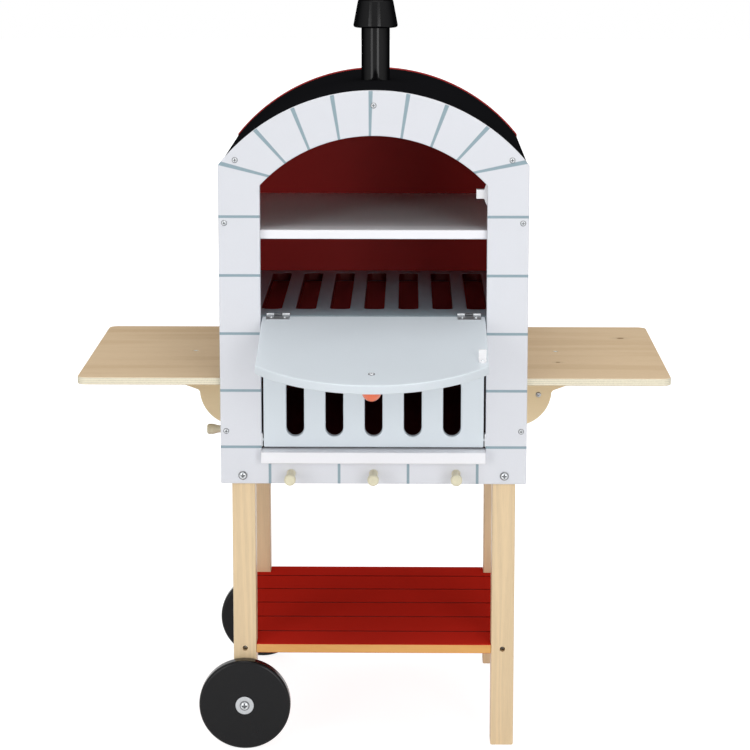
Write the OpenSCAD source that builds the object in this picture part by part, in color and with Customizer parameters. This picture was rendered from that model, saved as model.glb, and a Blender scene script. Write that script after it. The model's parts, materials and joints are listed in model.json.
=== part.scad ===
/* [Oven body] */
// Width of the front and back panels
body_w = 395; // [370:1:430]
// Height of the panels' lower edge above the floor
rail_z = 357; // [320:1:380]
// Height of the panels from their lower edge to the crown of the arch
body_h = 508.4; // [500:0.1:530]
// Rise of the arched top above the shoulders
arch_rise = 94.4; // [85:0.1:105]
// Depth of the body between the front and the back panel
inner_depth = 376; // [340:1:420]
// Thickness of the front panel
panel_t = 12; // [10:0.5:14]
// Thickness of the back panel
back_t = 9; // [6:0.5:12]
// Thickness of the side walls
wall_t = 12; // [10:0.5:14]
// How far the panels stand proud of the walls and the roof
overhang = 1.5; // [0.5:0.1:3]
// Thickness of the bent roof sheet
roof_t = 3; // [2:0.5:4]
// Side of the square battens under the roof
batten = 18; // [16:1:20]

/* [Front opening] */
// Width of the front panel beside the opening
column_w = 53; // [48:0.5:60]
// Width of the arched band over the opening
arch_band = 57; // [52:0.5:62]
// Height of the front panel's rail under the opening
rail_h = 31; // [28:0.5:36]
// Thickness of the sill board
sill_t = 15; // [12:0.5:16]
// How far the sill stands in front of the panel
sill_reach = 19; // [10:0.5:24]

/* [Boards] */
// Thickness of the shelves, the grate and the floor
board_t = 12; // [10:0.5:14]
// Height of the grate's top above the panels' lower edge
grate_h = 218.5; // [210:0.5:230]
// Depth of the upper shelf's top below the crown of the arch
shelf_drop = 178.4; // [168:0.1:195]
// Number of slots in the grate
grate_slots = 7; // [5:1:7]
// Width of a slot in the grate
grate_slot_w = 26; // [20:0.5:30]
// Distance between the grate's slots, centre to centre
grate_pitch = 44.7; // [42:0.1:46]
// Distance from the grate's front edge to its slots
grate_front_rim = 50; // [40:1:60]
// Distance from the grate's slots to the back panel
grate_back_rim = 23; // [18:1:40]
// Corner radius of the grate's slots
grate_slot_r = 6; // [3:0.5:9]

/* [Doors] */
// Thickness of both doors
door_t = 12; // [10:0.5:12.5]
// Gap between the upper door and the opening
door_gap = 1.3; // [1:0.1:2]
// Angle of the open upper door below the horizontal
door_drop = 11.4; // [6:0.1:14]
// Distance of the upper knob below the top of its door
knob_drop = 35.8; // [28:0.1:50]
// Diameter of the ball knobs
knob_d = 24; // [20:0.5:26]
// Height of the lower door
grille_h = 151; // [140:0.5:151]
// Gap beside the lower door
grille_gap = 2.6; // [2:0.1:3]
// Gap between the lower door and the sill
grille_sill_gap = 2.5; // [2.5:0.1:4]
// Height of the lower door's pivots above its lower edge
pivot_h = 9; // [8.8:0.1:12]
// Number of slots in the lower door
grille_slots = 5; // [3:1:5]
// Width of a slot in the lower door
grille_slot_w = 22.8; // [18:0.2:26]
// Length of a slot in the lower door
grille_slot_l = 76; // [60:1:90]
// Distance between the lower door's slots, centre to centre
grille_pitch = 50.5; // [46:0.5:53]
// Solid margin under the lower door's slots
grille_margin = 14.4; // [12.5:0.1:20]

/* [Side trays] */
// Length of a tray from the wall outwards
tray_l = 188; // [160:1:210]
// How far a tray ends short of the front and the back panel
tray_gap = 2; // [0.5:0.5:30]
// Thickness of a tray
tray_t = 10; // [9:0.5:12]
// Height of the trays' top above the panels' lower edge
tray_h = 137.2; // [130:0.1:150]
// Radius of a tray's outer corners
tray_r = 12; // [6:0.5:20]
// Length of a bracket's arm under its tray
bracket_l = 134; // [120:1:140]
// Height of a bracket
bracket_h = 93; // [86:0.5:100]
// Height of a bracket's arm near the wall
bracket_arm_h = 45.8; // [41:0.1:49]
// Height of a bracket's arm at its tip
bracket_tip_h = 12; // [9:0.5:16]
// Radius of a bracket's round lower corner
bracket_r = 50; // [46:0.5:54]
// Thickness of a bracket
bracket_t = 12; // [10:0.5:14]

/* [Legs and lower shelf] */
// Side of the square legs
leg_w = 30; // [27:0.5:32]
// Height of the left legs' lower ends above the floor
short_leg_z = 28; // [20:1:34]
// Height of the lower shelf's top above the floor
low_shelf_z = 137.6; // [130:0.1:150]
// Number of grooves across the lower shelf
grooves = 5; // [3:1:5]
// Distance of the first groove from the shelf's front edge
groove_first = 58.6; // [50:0.1:64]
// Distance between the grooves
groove_pitch = 66.8; // [60:0.1:68]
// Width and depth of a groove
groove_w = 1.6; // [1:0.1:2.5]

/* [Wheels] */
// Diameter of the wheels
wheel_d = 120; // [104:1:122]
// Width of the wheels
wheel_w = 18; // [15:0.5:22]
// Radius of the wheels' rounded rim
rim_r = 4; // [2:0.5:6]
// Diameter of the axle bolts
axle_d = 8; // [6:0.5:10]

/* [Chimney] */
// Diameter of the chimney post
post_d = 38; // [34:0.5:42]
// Height of the post from the roof's crown to the cap
post_h = 69.3; // [60:0.1:90]
// Diameter of the cap at its lower edge
cap_d = 60.4; // [54:0.2:66]
// Diameter of the cap at its top
cap_top_d = 46.4; // [44:0.2:52]
// Height of the cap
cap_h = 37; // [30:0.5:44]

/* [Pegs] */
// Length of a peg outside its board
peg_l = 40; // [30:1:50]
// Diameter of a peg's head
peg_head_d = 14.6; // [12:0.2:17]
// Distance between the front pegs
peg_pitch = 106.5; // [90:0.5:115]
// Height of the pegs above the panels' lower edge
peg_h = 13.8; // [11:0.1:17]
// Distance of the side peg from the front panel
side_peg_y = 250; // [230:1:280]

/* [Fasteners] */
// Diameter of the wood screws
screw_d = 3.5; // [3:0.1:4]
// Diameter of the leg bolts
bolt_d = 6; // [5:0.1:7]
// Running clearance round pins and axles
run_gap = 0.05; // [0.02:0.01:0.08]
// Clearance between boards that are fitted into each other
fit_gap = 0.2; // [0.1:0.05:0.3]
// Clearance that is kept between moving pieces
move_gap = 0.4; // [0.35:0.05:0.5]

/* [Hidden] */
$fn = 96;
eps = 0.1;

// Arches: both share one centre
arch_r = (pow(body_w / 2, 2) + pow(arch_rise, 2)) / (2 * arch_rise);
crown_z = rail_z + body_h;
arch_z = crown_z - arch_r;
inner_r = arch_r - arch_band;
open_w = body_w - 2 * column_w;
open_z = rail_z + rail_h;

// Body
wall_x = body_w / 2 - overhang;
room_x = wall_x - wall_t;
back_y = panel_t + inner_depth;
mid_y = panel_t + inner_depth / 2;
roof_r = arch_r - overhang;
wall_top = arch_z + sqrt(pow(roof_r, 2) - pow(wall_x, 2));
batten_r = sqrt(pow(roof_r - roof_t, 2) - pow(batten / 2, 2)) - fit_gap;
batten_wall_gap = 2;
wall_rise = wall_top - arch_z;
shoulder_a = atan2(room_x, wall_rise)
    - asin((batten / 2 + batten_wall_gap) / norm([room_x, wall_rise]));

// Boards
floor_z = open_z + sill_t;
grate_z = rail_z + grate_h;
shelf_z = crown_z - shelf_drop;
shelf_gap = 1;

// Upper door hinge: barrels lie on the inner face, a little above the grate
leaf_t = 1;
leaf_l = 15;
leaf_w = 30;
barrel_r = 2;
hinge_pin_r = 1;
hinge_off = 1.8;
heel = 1.5;
hinge_y = panel_t + hinge_off;
hinge_z = grate_z + hinge_off;
hinge_in = 7;
hinge_x = open_w / 2 - leaf_w / 2 - hinge_in;
door_face = panel_t - door_t;
knuckle = 10;
open_a = 90 + door_drop;
grate_front = hinge_y + (door_t + hinge_off) * sin(door_drop)
    - heel * cos(door_drop) + move_gap;
leaf_screw_gap = 17.4;
leaf_screw_y = 9;
small_d = 2.4;
small_head_d = 4.6;
small_head_h = 0.9;
small_l = 9;

// Ball knobs
knob_flat = 1;
knob_screw_d = 4;
knob_screw_l = 22;
knob_head_d = 8.4;
knob_z = arch_z + inner_r - door_gap - knob_drop;

// Striker of the upper door and its catch behind the front panel
striker_w = 9.5;
striker_t = 2;
striker_h = 13.6;
striker_foot = 13;
striker_in = 2.7;
striker_x = open_w / 2 - door_gap - striker_in;
striker_drop = 20.9;
striker_z = arch_z + sqrt(pow(inner_r - door_gap, 2) - pow(open_w / 2 - door_gap, 2))
    - striker_drop;
catch_lift = 1.2;
catch_w = 12;
catch_h = 11.6;
catch_y = panel_t + striker_t + small_head_h + move_gap;
flange_h = 31;
flange_t = 2.6;
flange_in = 4.2;
flange_out = 15.5;
flange_r = 27;
flange_screw_in = 4.5;
catch_z = striker_z + striker_t + catch_lift;
catch_mid_z = catch_z + catch_h / 2;
catch_screw_x = open_w / 2 + flange_out / 2;
catch_screw_z = [catch_mid_z - flange_h / 2 + flange_screw_in,
                 catch_mid_z + flange_h / 2 - flange_screw_in];
striker_screw_z = striker_z + (striker_t + striker_foot) / 2;

// Lower door
grille_w = open_w - 2 * grille_gap;
grille_z = floor_z + grille_sill_gap;
pivot_z = grille_z + pivot_h;
pivot_y = door_t / 2;
pivot_r = 2;
pivot_in = 12;
pivot_plate_t = 1.2;
pivot_plate_h = 17;
pivot_plate_w = 10;
pivot_plate_low = pivot_z - pivot_h + 1;
pin_gap = 1;
plate_t = 1.2;
plate_w = 34;
plate_h = 10;
plate_screw_x = 12.5;
plate_z = grille_z + grille_h - plate_h / 2;
magnet_w = 18;
magnet_l = 14;
magnet_h = 15;
magnet_drop = 2;
magnet_ear_w = 36;
magnet_screw_x = 13;
magnet_y = door_t + plate_t + move_gap;
magnet_screw_in = 4.5;
magnet_screw_y = magnet_y + magnet_l - magnet_screw_in;
grille_knob_h = 118;
grille_knob_z = grille_z + grille_knob_h;

// Trays
tray_z = rail_z + tray_h;
tray_foot = tray_z - tray_t;
tray_w = inner_depth - 2 * tray_gap;
tray_screw_x = wall_x + 49;
bracket_screw_x = wall_x + 26;
bracket_screw_drop = 49;
bracket_inset = 6;
bracket_arm_x = bracket_r - bracket_inset - 8;
cleat_w = 40;
cleat_t = 20;
cleat_h = 60;
tray_end_y = 90;
cleat_y = mid_y + bracket_t / 2 + cleat_t / 2;
cleat_screw_z = [tray_foot - 42, tray_foot - 14];

// Legs, wheels and lower shelf
leg_top = floor_z - board_t;
leg_x = room_x - leg_w / 2;
leg_front_y = panel_t + leg_w / 2;
leg_back_y = back_y - leg_w / 2;
bolt_z = rail_z + 11.2;
bolt_in = 25;
bolt_head_d = 11;
bolt_head_h = 2.6;
washer_t = 1.2;
leg_washer_d = 12;
shelf_screw_z = low_shelf_z - board_t / 2;
sink_d = 7;
sink_l = 8;
shelf_screw_in = 20;
wheel_z = wheel_d / 2;
spacer_t = 1.3;
spacer_d = 18;
wheel_gap = 0.3;
axle_washer_d = 24;
axle_washer_t = 1.5;
axle_head_d = 13;
axle_head_h = 3.4;
axle_tip_d = 5;
axle_tip_l = 24;
wheel_stack = spacer_t + wheel_w + 2 * wheel_gap + axle_washer_t;

// Screws
head_d = 7.4;
head_h = 1.8;
screw_l = 30;
pilot_d = screw_d + 2 * run_gap;
pilot_over = 1;
tray_sink = head_h + 0.2;
bracket_screw_l = bracket_t + cleat_t - 2;
peg_base_d = 12;
peg_waist_d = 9.4;
peg_pin_d = 8;
peg_pin_l = 9;
peg_edge = 1.2;
peg_turns = [0.08, 0.28, 0.62, 0.76, 0.8, 0.94];
peg_z = rail_z + peg_h;
wall_screw_in = 68;
wall_screw_y = [wall_screw_in, inner_depth - wall_screw_in];
leg_screw_drop = 8;
side_screw_h = [69.8, 340.4];
crown_screw_in = 18.4;
shoulder_screw_in = 12;
chimney_screw_d = 5;
chimney_screw_l = 52;
chimney_head_d = 10.4;
chimney_head_h = 2.6;
post_seat = 2;
cap_z = arch_z + roof_r + post_h;
cap_sink = 12;
cap_edge = 2.5;

// Places of the panel screws, across and up
panel_screw_xz = concat(
    [[0, crown_z - crown_screw_in]],
    [for (s = [-1, 1])
        [s * (arch_r - shoulder_screw_in) * sin(shoulder_a),
         arch_z + (arch_r - shoulder_screw_in) * cos(shoulder_a)]],
    [for (s = [-1, 1], h = side_screw_h) [s * (wall_x - wall_t / 2), rail_z + h]]);

// Heights of the boards' middles, where the wall screws go in
board_mid_z = [floor_z - board_t / 2, grate_z - board_t / 2, shelf_z - board_t / 2];

// Places of the screws through the walls, in depth and height: boards, then legs
wall_screw_yz = concat(
    [for (y = wall_screw_y, z = board_mid_z) [panel_t + y, z]],
    [for (y = [leg_front_y, leg_back_y]) [y, leg_top - leg_screw_drop]]);

// The origin lies under the middle of the whole object, its open door included
door_tip = arch_z + inner_r - door_gap - hinge_z;
front_y = min(hinge_y + hinge_off * sin(door_drop) - door_tip * cos(door_drop), -peg_l);
rear_y = back_y + wheel_stack + axle_head_h;
origin_y = -(front_y + rear_y) / 2;

white = "#E3E6EE";
pale_blue = "#CAD3DC";
red = "#8E1A1C";
shelf_red = "#9A1A12";
black = "#17171A";
beech = "#E0C49A";
plywood = "#DDC7A0";
raw_wood = "#E8E0B8";
orange = "#E8603C";
zinc = "#C9CCD1";
plastic = "#F2F2F4";

// ---- Helpers ----

// Everything below is drawn with the front panel's face at y = 0
module placed() translate([0, origin_y, 0]) children();

// A flat profile in x and z, given a thickness from y = 0 backwards
module upright(t) rotate([90, 0, 0]) translate([0, 0, -t]) linear_extrude(t) children();

// A cylinder along +y that starts at y = 0
module rod_y(d, l) rotate([-90, 0, 0]) cylinder(d = d, h = l);

// A cylinder along +x that starts at x = 0
module rod_x(d, l) rotate([0, 90, 0]) cylinder(d = d, h = l);

// A box between two corners
module block(lo, hi) translate(lo) cube(hi - lo);

// An upright shape with straight sides and a round arched top
module arched(w, lo, r) {
    intersection() {
        translate([-w / 2, lo]) square([w, arch_z + r - lo]);
        union() {
            translate([0, arch_z]) circle(r = r, $fn = 240);
            translate([-w / 2 - 1, lo - 1]) square([w + 2, arch_z - lo + 1]);
        }
    }
}

// A slot with full round ends, its lower end at the origin
module round_slot(w, l) {
    translate([-w / 2, w / 2]) square([w, l - w]);
    for (y = [w / 2, l - w / 2]) translate([0, y]) circle(d = w);
}

// A rectangle with four round corners
module round_plate(w, l, r) {
    translate([r, 0]) square([w - 2 * r, l]);
    translate([0, r]) square([w, l - 2 * r]);
    for (x = [r, w - r], y = [r, l - r]) translate([x, y]) circle(r = r);
}

// A screw along +y, the underside of its head at y = 0
module screw_y(d, l, hd, hh) {
    rod_y(d, l);
    translate([0, -hh, 0]) rod_y(hd, hh);
}

module wood_screw(l) screw_y(screw_d, l, head_d, head_h);
module small_screw() screw_y(small_d, small_l, small_head_d, small_head_h);

// Turns and moves a closed upper door piece to the open door
module door_open()
    translate([0, hinge_y, hinge_z]) rotate([open_a, 0, 0])
        translate([0, -hinge_y, -hinge_z]) children();

// ---- Front and back ----

module panel_screw_holes(t)
    for (p = panel_screw_xz) translate([p[0], -eps, p[1]]) rod_y(pilot_d, t + 2 * eps);

module leg_bolt_holes(t)
    for (s = [-1, 1]) translate([s * leg_x, -eps, bolt_z])
        rod_y(bolt_d + 2 * run_gap, t + 2 * eps);

module front_panel() placed() color(white) difference() {
    upright(panel_t) difference() {
        arched(body_w, rail_z, arch_r);
        arched(open_w, open_z, inner_r);
    }
    panel_screw_holes(panel_t);
    leg_bolt_holes(panel_t);
    for (i = [-1, 0, 1]) translate([i * peg_pitch, -eps, peg_z])
        rod_y(peg_pin_d + 2 * run_gap, peg_pin_l + 2 * eps);
    for (s = [0, 1]) mirror([s, 0, 0]) {
        translate([open_w / 2 - eps, pivot_y, pivot_z])
            rod_x(2 * (pivot_r + run_gap), pivot_in + eps);
    }
    for (z = catch_screw_z) translate([catch_screw_x, panel_t - small_l, z])
        rod_y(small_d + 2 * run_gap, small_l + eps);
}

module back_panel() placed() color(red) translate([0, back_y, 0]) difference() {
    upright(back_t) arched(body_w, rail_z, arch_r);
    panel_screw_holes(back_t);
    leg_bolt_holes(back_t);
}

module panel_screws() placed() color(zinc) for (p = panel_screw_xz) {
    translate([p[0], 0, p[1]]) wood_screw(screw_l);
    translate([p[0], back_y + back_t, p[1]]) mirror([0, 1, 0]) wood_screw(screw_l);
}

// ---- Walls and roof ----

// Pilot holes for the panel screws at the front and the back end of a piece
module end_pilots()
    for (p = panel_screw_xz) {
        translate([p[0], panel_t - eps, p[1]])
            rod_y(pilot_d, screw_l - panel_t + eps + pilot_over);
        translate([p[0], back_y + eps, p[1]]) mirror([0, 1, 0])
            rod_y(pilot_d, screw_l - back_t + eps + pilot_over);
    }

module wall_solid() difference() {
    block([room_x, panel_t, rail_z], [wall_x, back_y, wall_top]);
    end_pilots();
    for (p = wall_screw_yz) translate([room_x - eps, p[0], p[1]])
        rod_x(pilot_d, wall_t + 2 * eps);
    for (s = [-1, 1]) translate([room_x - eps, mid_y + s * tray_end_y, tray_foot + tray_t / 2])
        rod_x(pilot_d, wall_t + 2 * eps);
    for (z = cleat_screw_z) translate([room_x - eps, cleat_y, z])
        rod_x(pilot_d, wall_t + 2 * eps);
}

module left_wall() placed() color(white) mirror([1, 0, 0]) difference() {
    wall_solid();
    translate([wall_x - peg_pin_l, panel_t + side_peg_y, peg_z])
        rod_x(peg_pin_d + 2 * run_gap, peg_pin_l + eps);
}

module right_wall() placed() color(white) wall_solid();

module wall_screws() placed() color(zinc) for (s = [0, 1]) mirror([s, 0, 0])
    for (p = wall_screw_yz) translate([wall_x, p[0], p[1]]) rotate([0, 0, 90])
        wood_screw(screw_l);

module roof_sheet() placed() color(black) translate([0, panel_t, 0]) difference() {
    upright(inner_depth) intersection() {
        translate([0, arch_z]) difference() {
            circle(r = roof_r, $fn = 240);
            circle(r = roof_r - roof_t, $fn = 240);
        }
        translate([-wall_x, wall_top]) square([2 * wall_x, roof_r]);
    }
    translate([0, inner_depth / 2, arch_z])
        cylinder(d = chimney_screw_d + 2 * run_gap, h = roof_r + eps);
}

// A batten under the roof, turned about the arch's centre by an angle
module batten_at(a) difference() {
    translate([0, panel_t, arch_z]) rotate([0, a, 0])
        translate([-batten / 2, 0, batten_r - batten]) cube([batten, inner_depth, batten]);
    end_pilots();
}

module ridge_batten() placed() color(beech) difference() {
    batten_at(0);
    translate([0, mid_y, arch_z + batten_r - batten - eps])
        cylinder(d = chimney_screw_d + 2 * run_gap, h = batten + 2 * eps);
}

module left_roof_batten() placed() color(beech) batten_at(-shoulder_a);
module right_roof_batten() placed() color(beech) batten_at(shoulder_a);

// ---- Chimney ----

module chimney_post() placed() color(black) difference() {
    translate([0, mid_y, arch_z + roof_r - post_seat])
        cylinder(d = post_d, h = post_seat + post_h + cap_sink);
    translate([0, 0, arch_z]) rod_y(2 * (roof_r + run_gap), back_y);
    translate([0, mid_y, arch_z])
        cylinder(d = chimney_screw_d + 2 * run_gap,
                 h = batten_r - batten + chimney_screw_l + pilot_over);
}

module chimney_cap() placed() color(black) translate([0, mid_y, cap_z]) difference() {
    rotate_extrude($fn = 128) polygon([
        [0, 0], [cap_d / 2 - cap_edge, 0], [cap_d / 2, cap_edge],
        [cap_top_d / 2, cap_h - cap_edge], [cap_top_d / 2 - cap_edge, cap_h], [0, cap_h]]);
    translate([0, 0, -eps]) cylinder(d = post_d + 2 * run_gap, h = cap_sink + run_gap + eps);
}

module chimney_screw() placed() color(zinc)
    translate([0, mid_y, arch_z + batten_r - batten]) rotate([90, 0, 0])
        screw_y(chimney_screw_d, chimney_screw_l, chimney_head_d, chimney_head_h);

// ---- Boards in the body ----

// Pilot holes for the wall screws in both side edges of a board or leg
module side_pilots() for (s = [0, 1]) mirror([s, 0, 0])
    for (p = wall_screw_yz) translate([room_x - screw_l + wall_t - pilot_over, p[0], p[1]])
        rod_x(pilot_d, screw_l);

module upper_shelf() placed() color(white) difference() {
    block([-room_x, panel_t + shelf_gap, shelf_z - board_t], [room_x, back_y, shelf_z]);
    side_pilots();
}

module grate_board() placed() color("#8E949B") difference() {
    block([-room_x, grate_front, grate_z - board_t], [room_x, back_y, grate_z]);
    for (i = [0 : grate_slots - 1])
        translate([(i - (grate_slots - 1) / 2) * grate_pitch - grate_slot_w / 2,
                   grate_front + grate_front_rim, grate_z - board_t - eps])
            linear_extrude(board_t + 2 * eps)
                round_plate(grate_slot_w, back_y - grate_back_rim - grate_front - grate_front_rim,
                            grate_slot_r);
    side_pilots();
    for (s = [-1, 1], k = [-1, 1])
        translate([s * hinge_x + k * leaf_screw_gap / 2, hinge_y + leaf_screw_y, grate_z - small_l])
            cylinder(d = small_d + 2 * run_gap, h = small_l + eps);
    for (s = [-1, 1]) translate([s * magnet_screw_x, magnet_screw_y, grate_z - board_t - eps])
        cylinder(d = small_d + 2 * run_gap, h = small_l);
}

module floor_board() placed() color(red) difference() {
    block([-room_x, panel_t, floor_z - board_t], [room_x, back_y, floor_z]);
    side_pilots();
}

module sill_board() placed() color("#F4F4F8")
    block([-open_w / 2 + fit_gap, -sill_reach, open_z], [open_w / 2 - fit_gap, panel_t, floor_z]);

// ---- Upper door ----

// A ball knob whose flat foot stands on y = 0 and that points to -y
module ball_knob() rotate([90, 0, 0]) difference() {
    rotate_extrude() intersection() {
        translate([0, knob_d / 2 - knob_flat]) circle(d = knob_d);
        square([knob_d, 2 * knob_d]);
    }
    translate([0, 0, -eps])
        cylinder(d = knob_screw_d + 2 * run_gap, h = knob_screw_l - door_t + pilot_over + eps);
}

// The screw that holds a knob, from the door's inner face outwards
module knob_screw() translate([0, door_t, 0]) mirror([0, 1, 0])
    screw_y(knob_screw_d, knob_screw_l, knob_head_d, head_h);

module upper_door() placed() color(pale_blue) door_open() translate([0, door_face, 0])
    difference() {
        upright(door_t) arched(open_w - 2 * door_gap, hinge_z + heel, inner_r - door_gap);
        translate([0, -eps, knob_z])
            rod_y(knob_screw_d + 2 * run_gap, door_t + 2 * eps);
        for (s = [-1, 1], k = [-1, 1])
            translate([s * hinge_x + k * leaf_screw_gap / 2, door_t - small_l,
                       hinge_z + leaf_screw_y])
                rod_y(small_d + 2 * run_gap, small_l + eps);
        translate([striker_x - striker_w / 2, door_t - small_l, striker_screw_z])
            rod_y(small_d + 2 * run_gap, small_l + eps);
    }

// Places a piece at the upper knob, on the door's outer face
module at_upper_knob() placed() door_open()
    translate([0, door_face, knob_z]) children();

module upper_knob() at_upper_knob() color(orange) ball_knob();
module upper_knob_screw() at_upper_knob() color(zinc) knob_screw();

// The striker is an angle: a foot on the door and a tongue that stands up from it
module door_striker() placed() color(plastic) door_open()
    translate([striker_x - striker_w, panel_t, striker_z]) difference() {
        union() {
            cube([striker_w, striker_h, striker_t]);
            cube([striker_w, striker_t, striker_foot - striker_w / 2]);
            translate([striker_w / 2, 0, striker_foot - striker_w / 2])
                rod_y(striker_w, striker_t);
        }
        translate([striker_w / 2, -eps, (striker_t + striker_foot) / 2])
            rod_y(small_d + 2 * run_gap, striker_t + 2 * eps);
    }

// ---- Upper hinges ----

// One hinge leaf that lies along +y from the barrel, with its knuckles
module hinge_leaf(middle) difference() {
    union() {
        block([-leaf_w / 2, barrel_r + move_gap, -hinge_off],
              [leaf_w / 2, leaf_l, -hinge_off + leaf_t]);
        for (x = knuckle_spans(middle)) {
            translate([x[0], 0, 0]) rod_x(2 * barrel_r, x[1] - x[0]);
            block([x[0], 0, -hinge_off], [x[1], barrel_r + move_gap + eps, -hinge_off + leaf_t]);
        }
    }
    translate([-leaf_w, 0, 0]) rod_x(2 * (hinge_pin_r + run_gap), 2 * leaf_w);
    for (k = [-1, 1]) translate([k * leaf_screw_gap / 2, leaf_screw_y, -hinge_off - eps])
        cylinder(d = small_d + 2 * run_gap, h = leaf_t + 2 * eps);
}

// From where to where the knuckles of a leaf reach: the middle one, or the outer two
function knuckle_spans(middle) = middle
    ? [[-knuckle / 2, knuckle / 2]]
    : [[-leaf_w / 2, -knuckle / 2 - move_gap], [knuckle / 2 + move_gap, leaf_w / 2]];

module frame_hinge_leaves() placed() color(zinc)
    for (s = [-1, 1]) translate([s * hinge_x, hinge_y, hinge_z]) hinge_leaf(true);

// The door's leaf stands up from the barrel when the door is closed
module door_hinge_leaves() placed() color(zinc) door_open()
    for (s = [-1, 1]) translate([s * hinge_x, hinge_y, hinge_z])
        mirror([0, 1, -1]) hinge_leaf(false);

module hinge_pins() placed() color(zinc)
    for (s = [-1, 1]) translate([s * hinge_x - leaf_w / 2, hinge_y, hinge_z])
        rod_x(2 * hinge_pin_r, leaf_w);

module frame_small_screws() placed() color(zinc) {
    for (s = [-1, 1], k = [-1, 1])
        translate([s * hinge_x + k * leaf_screw_gap / 2, hinge_y + leaf_screw_y,
                   hinge_z - hinge_off + leaf_t])
            rotate([-90, 0, 0]) small_screw();
    for (z = catch_screw_z) translate([catch_screw_x, catch_y + flange_t, z])
        mirror([0, 1, 0]) small_screw();
    for (s = [-1, 1])
        translate([s * magnet_screw_x, magnet_screw_y, grate_z - board_t - magnet_drop])
            rotate([90, 0, 0]) small_screw();
}

module door_small_screws() placed() color(zinc) door_open() {
    for (s = [-1, 1], k = [-1, 1])
        translate([s * hinge_x + k * leaf_screw_gap / 2, panel_t + leaf_t, hinge_z + leaf_screw_y])
            mirror([0, 1, 0]) small_screw();
    translate([striker_x - striker_w / 2, panel_t + striker_t, striker_screw_z])
        mirror([0, 1, 0]) small_screw();
}

// ---- Catch of the upper door, behind the front panel ----

// The outline of the catch's flange, rounded towards the opening
module flange_outline() intersection() {
    translate([open_w / 2 - flange_in + flange_r, catch_mid_z]) circle(r = flange_r);
    translate([open_w / 2 - flange_in, catch_mid_z - flange_h / 2])
        square([flange_in + flange_out, flange_h]);
}

module door_catch() placed() color(plastic) difference() {
    union() {
        block([striker_x - striker_w, catch_y, catch_z],
              [open_w / 2 + flange_out, catch_y + catch_w, catch_z + catch_h]);
        translate([0, catch_y, 0]) upright(flange_t) flange_outline();
        translate([0, panel_t, 0]) upright(catch_y - panel_t + eps) intersection() {
            flange_outline();
            translate([open_w / 2, catch_mid_z - flange_h / 2]) square([flange_out, flange_h]);
        }
    }
    for (z = catch_screw_z) translate([catch_screw_x, panel_t - eps, z])
        rod_y(small_d + 2 * run_gap, catch_w);
}

// ---- Lower door ----

module lower_door() placed() color(pale_blue) difference() {
    upright(door_t) difference() {
        translate([-grille_w / 2, grille_z]) square([grille_w, grille_h]);
        for (i = [0 : grille_slots - 1])
            translate([(i - (grille_slots - 1) / 2) * grille_pitch, grille_z + grille_margin])
                round_slot(grille_slot_w, grille_slot_l);
    }
    for (s = [0, 1]) mirror([s, 0, 0])
        translate([grille_w / 2 - pivot_in, pivot_y, pivot_z])
            rod_x(2 * (pivot_r + run_gap), pivot_in + eps);
    translate([0, -eps, grille_knob_z]) rod_y(knob_screw_d + 2 * run_gap, door_t + 2 * eps);
    for (k = [-1, 1]) translate([k * plate_screw_x, door_t - small_l, plate_z])
        rod_y(small_d + 2 * run_gap, small_l + eps);
}

module lower_knob() placed() color(orange) translate([0, 0, grille_knob_z]) ball_knob();
module lower_knob_screw() placed() color(zinc) translate([0, 0, grille_knob_z]) knob_screw();

module lower_door_plate() placed() color(zinc) difference() {
    block([-plate_w / 2, door_t, plate_z - plate_h / 2],
          [plate_w / 2, door_t + plate_t, plate_z + plate_h / 2]);
    for (k = [-1, 1]) translate([k * plate_screw_x, door_t - eps, plate_z])
        rod_y(small_d + 2 * run_gap, plate_t + 2 * eps);
}

module plate_screws() placed() color(zinc)
    for (k = [-1, 1]) translate([k * plate_screw_x, door_t + plate_t, plate_z])
        mirror([0, 1, 0]) small_screw();

module pivot_plates() placed() color(zinc) for (s = [0, 1]) mirror([s, 0, 0]) difference() {
    block([open_w / 2 - pivot_plate_t, pivot_y - pivot_plate_w / 2, pivot_plate_low],
          [open_w / 2, pivot_y + pivot_plate_w / 2, pivot_plate_low + pivot_plate_h]);
    translate([open_w / 2 - 2 * pivot_plate_t, pivot_y, pivot_z])
        rod_x(2 * (pivot_r + run_gap), 3 * pivot_plate_t);
}

module pivot_pins() placed() color(zinc) for (s = [0, 1]) mirror([s, 0, 0])
    translate([grille_w / 2 - pivot_in + pin_gap, pivot_y, pivot_z])
        rod_x(2 * pivot_r, grille_gap + 2 * (pivot_in - pin_gap));

// The magnet under the grate that holds the lower door's plate, with an ear on each side
module grate_magnet() placed() color(plastic)
    translate([0, magnet_y, grate_z - board_t]) difference() {
        union() {
            block([-magnet_w / 2, 0, -magnet_drop - magnet_h],
                  [magnet_w / 2, magnet_l, -magnet_drop]);
            block([-magnet_ear_w / 2, grate_front + move_gap - magnet_y, -magnet_drop],
                  [magnet_ear_w / 2, magnet_l, 0]);
        }
        for (s = [-1, 1])
            translate([s * magnet_screw_x, magnet_l - magnet_screw_in, -magnet_drop - eps])
                cylinder(d = small_d + 2 * run_gap, h = magnet_drop + 2 * eps);
    }

// ---- Trays ----

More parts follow.
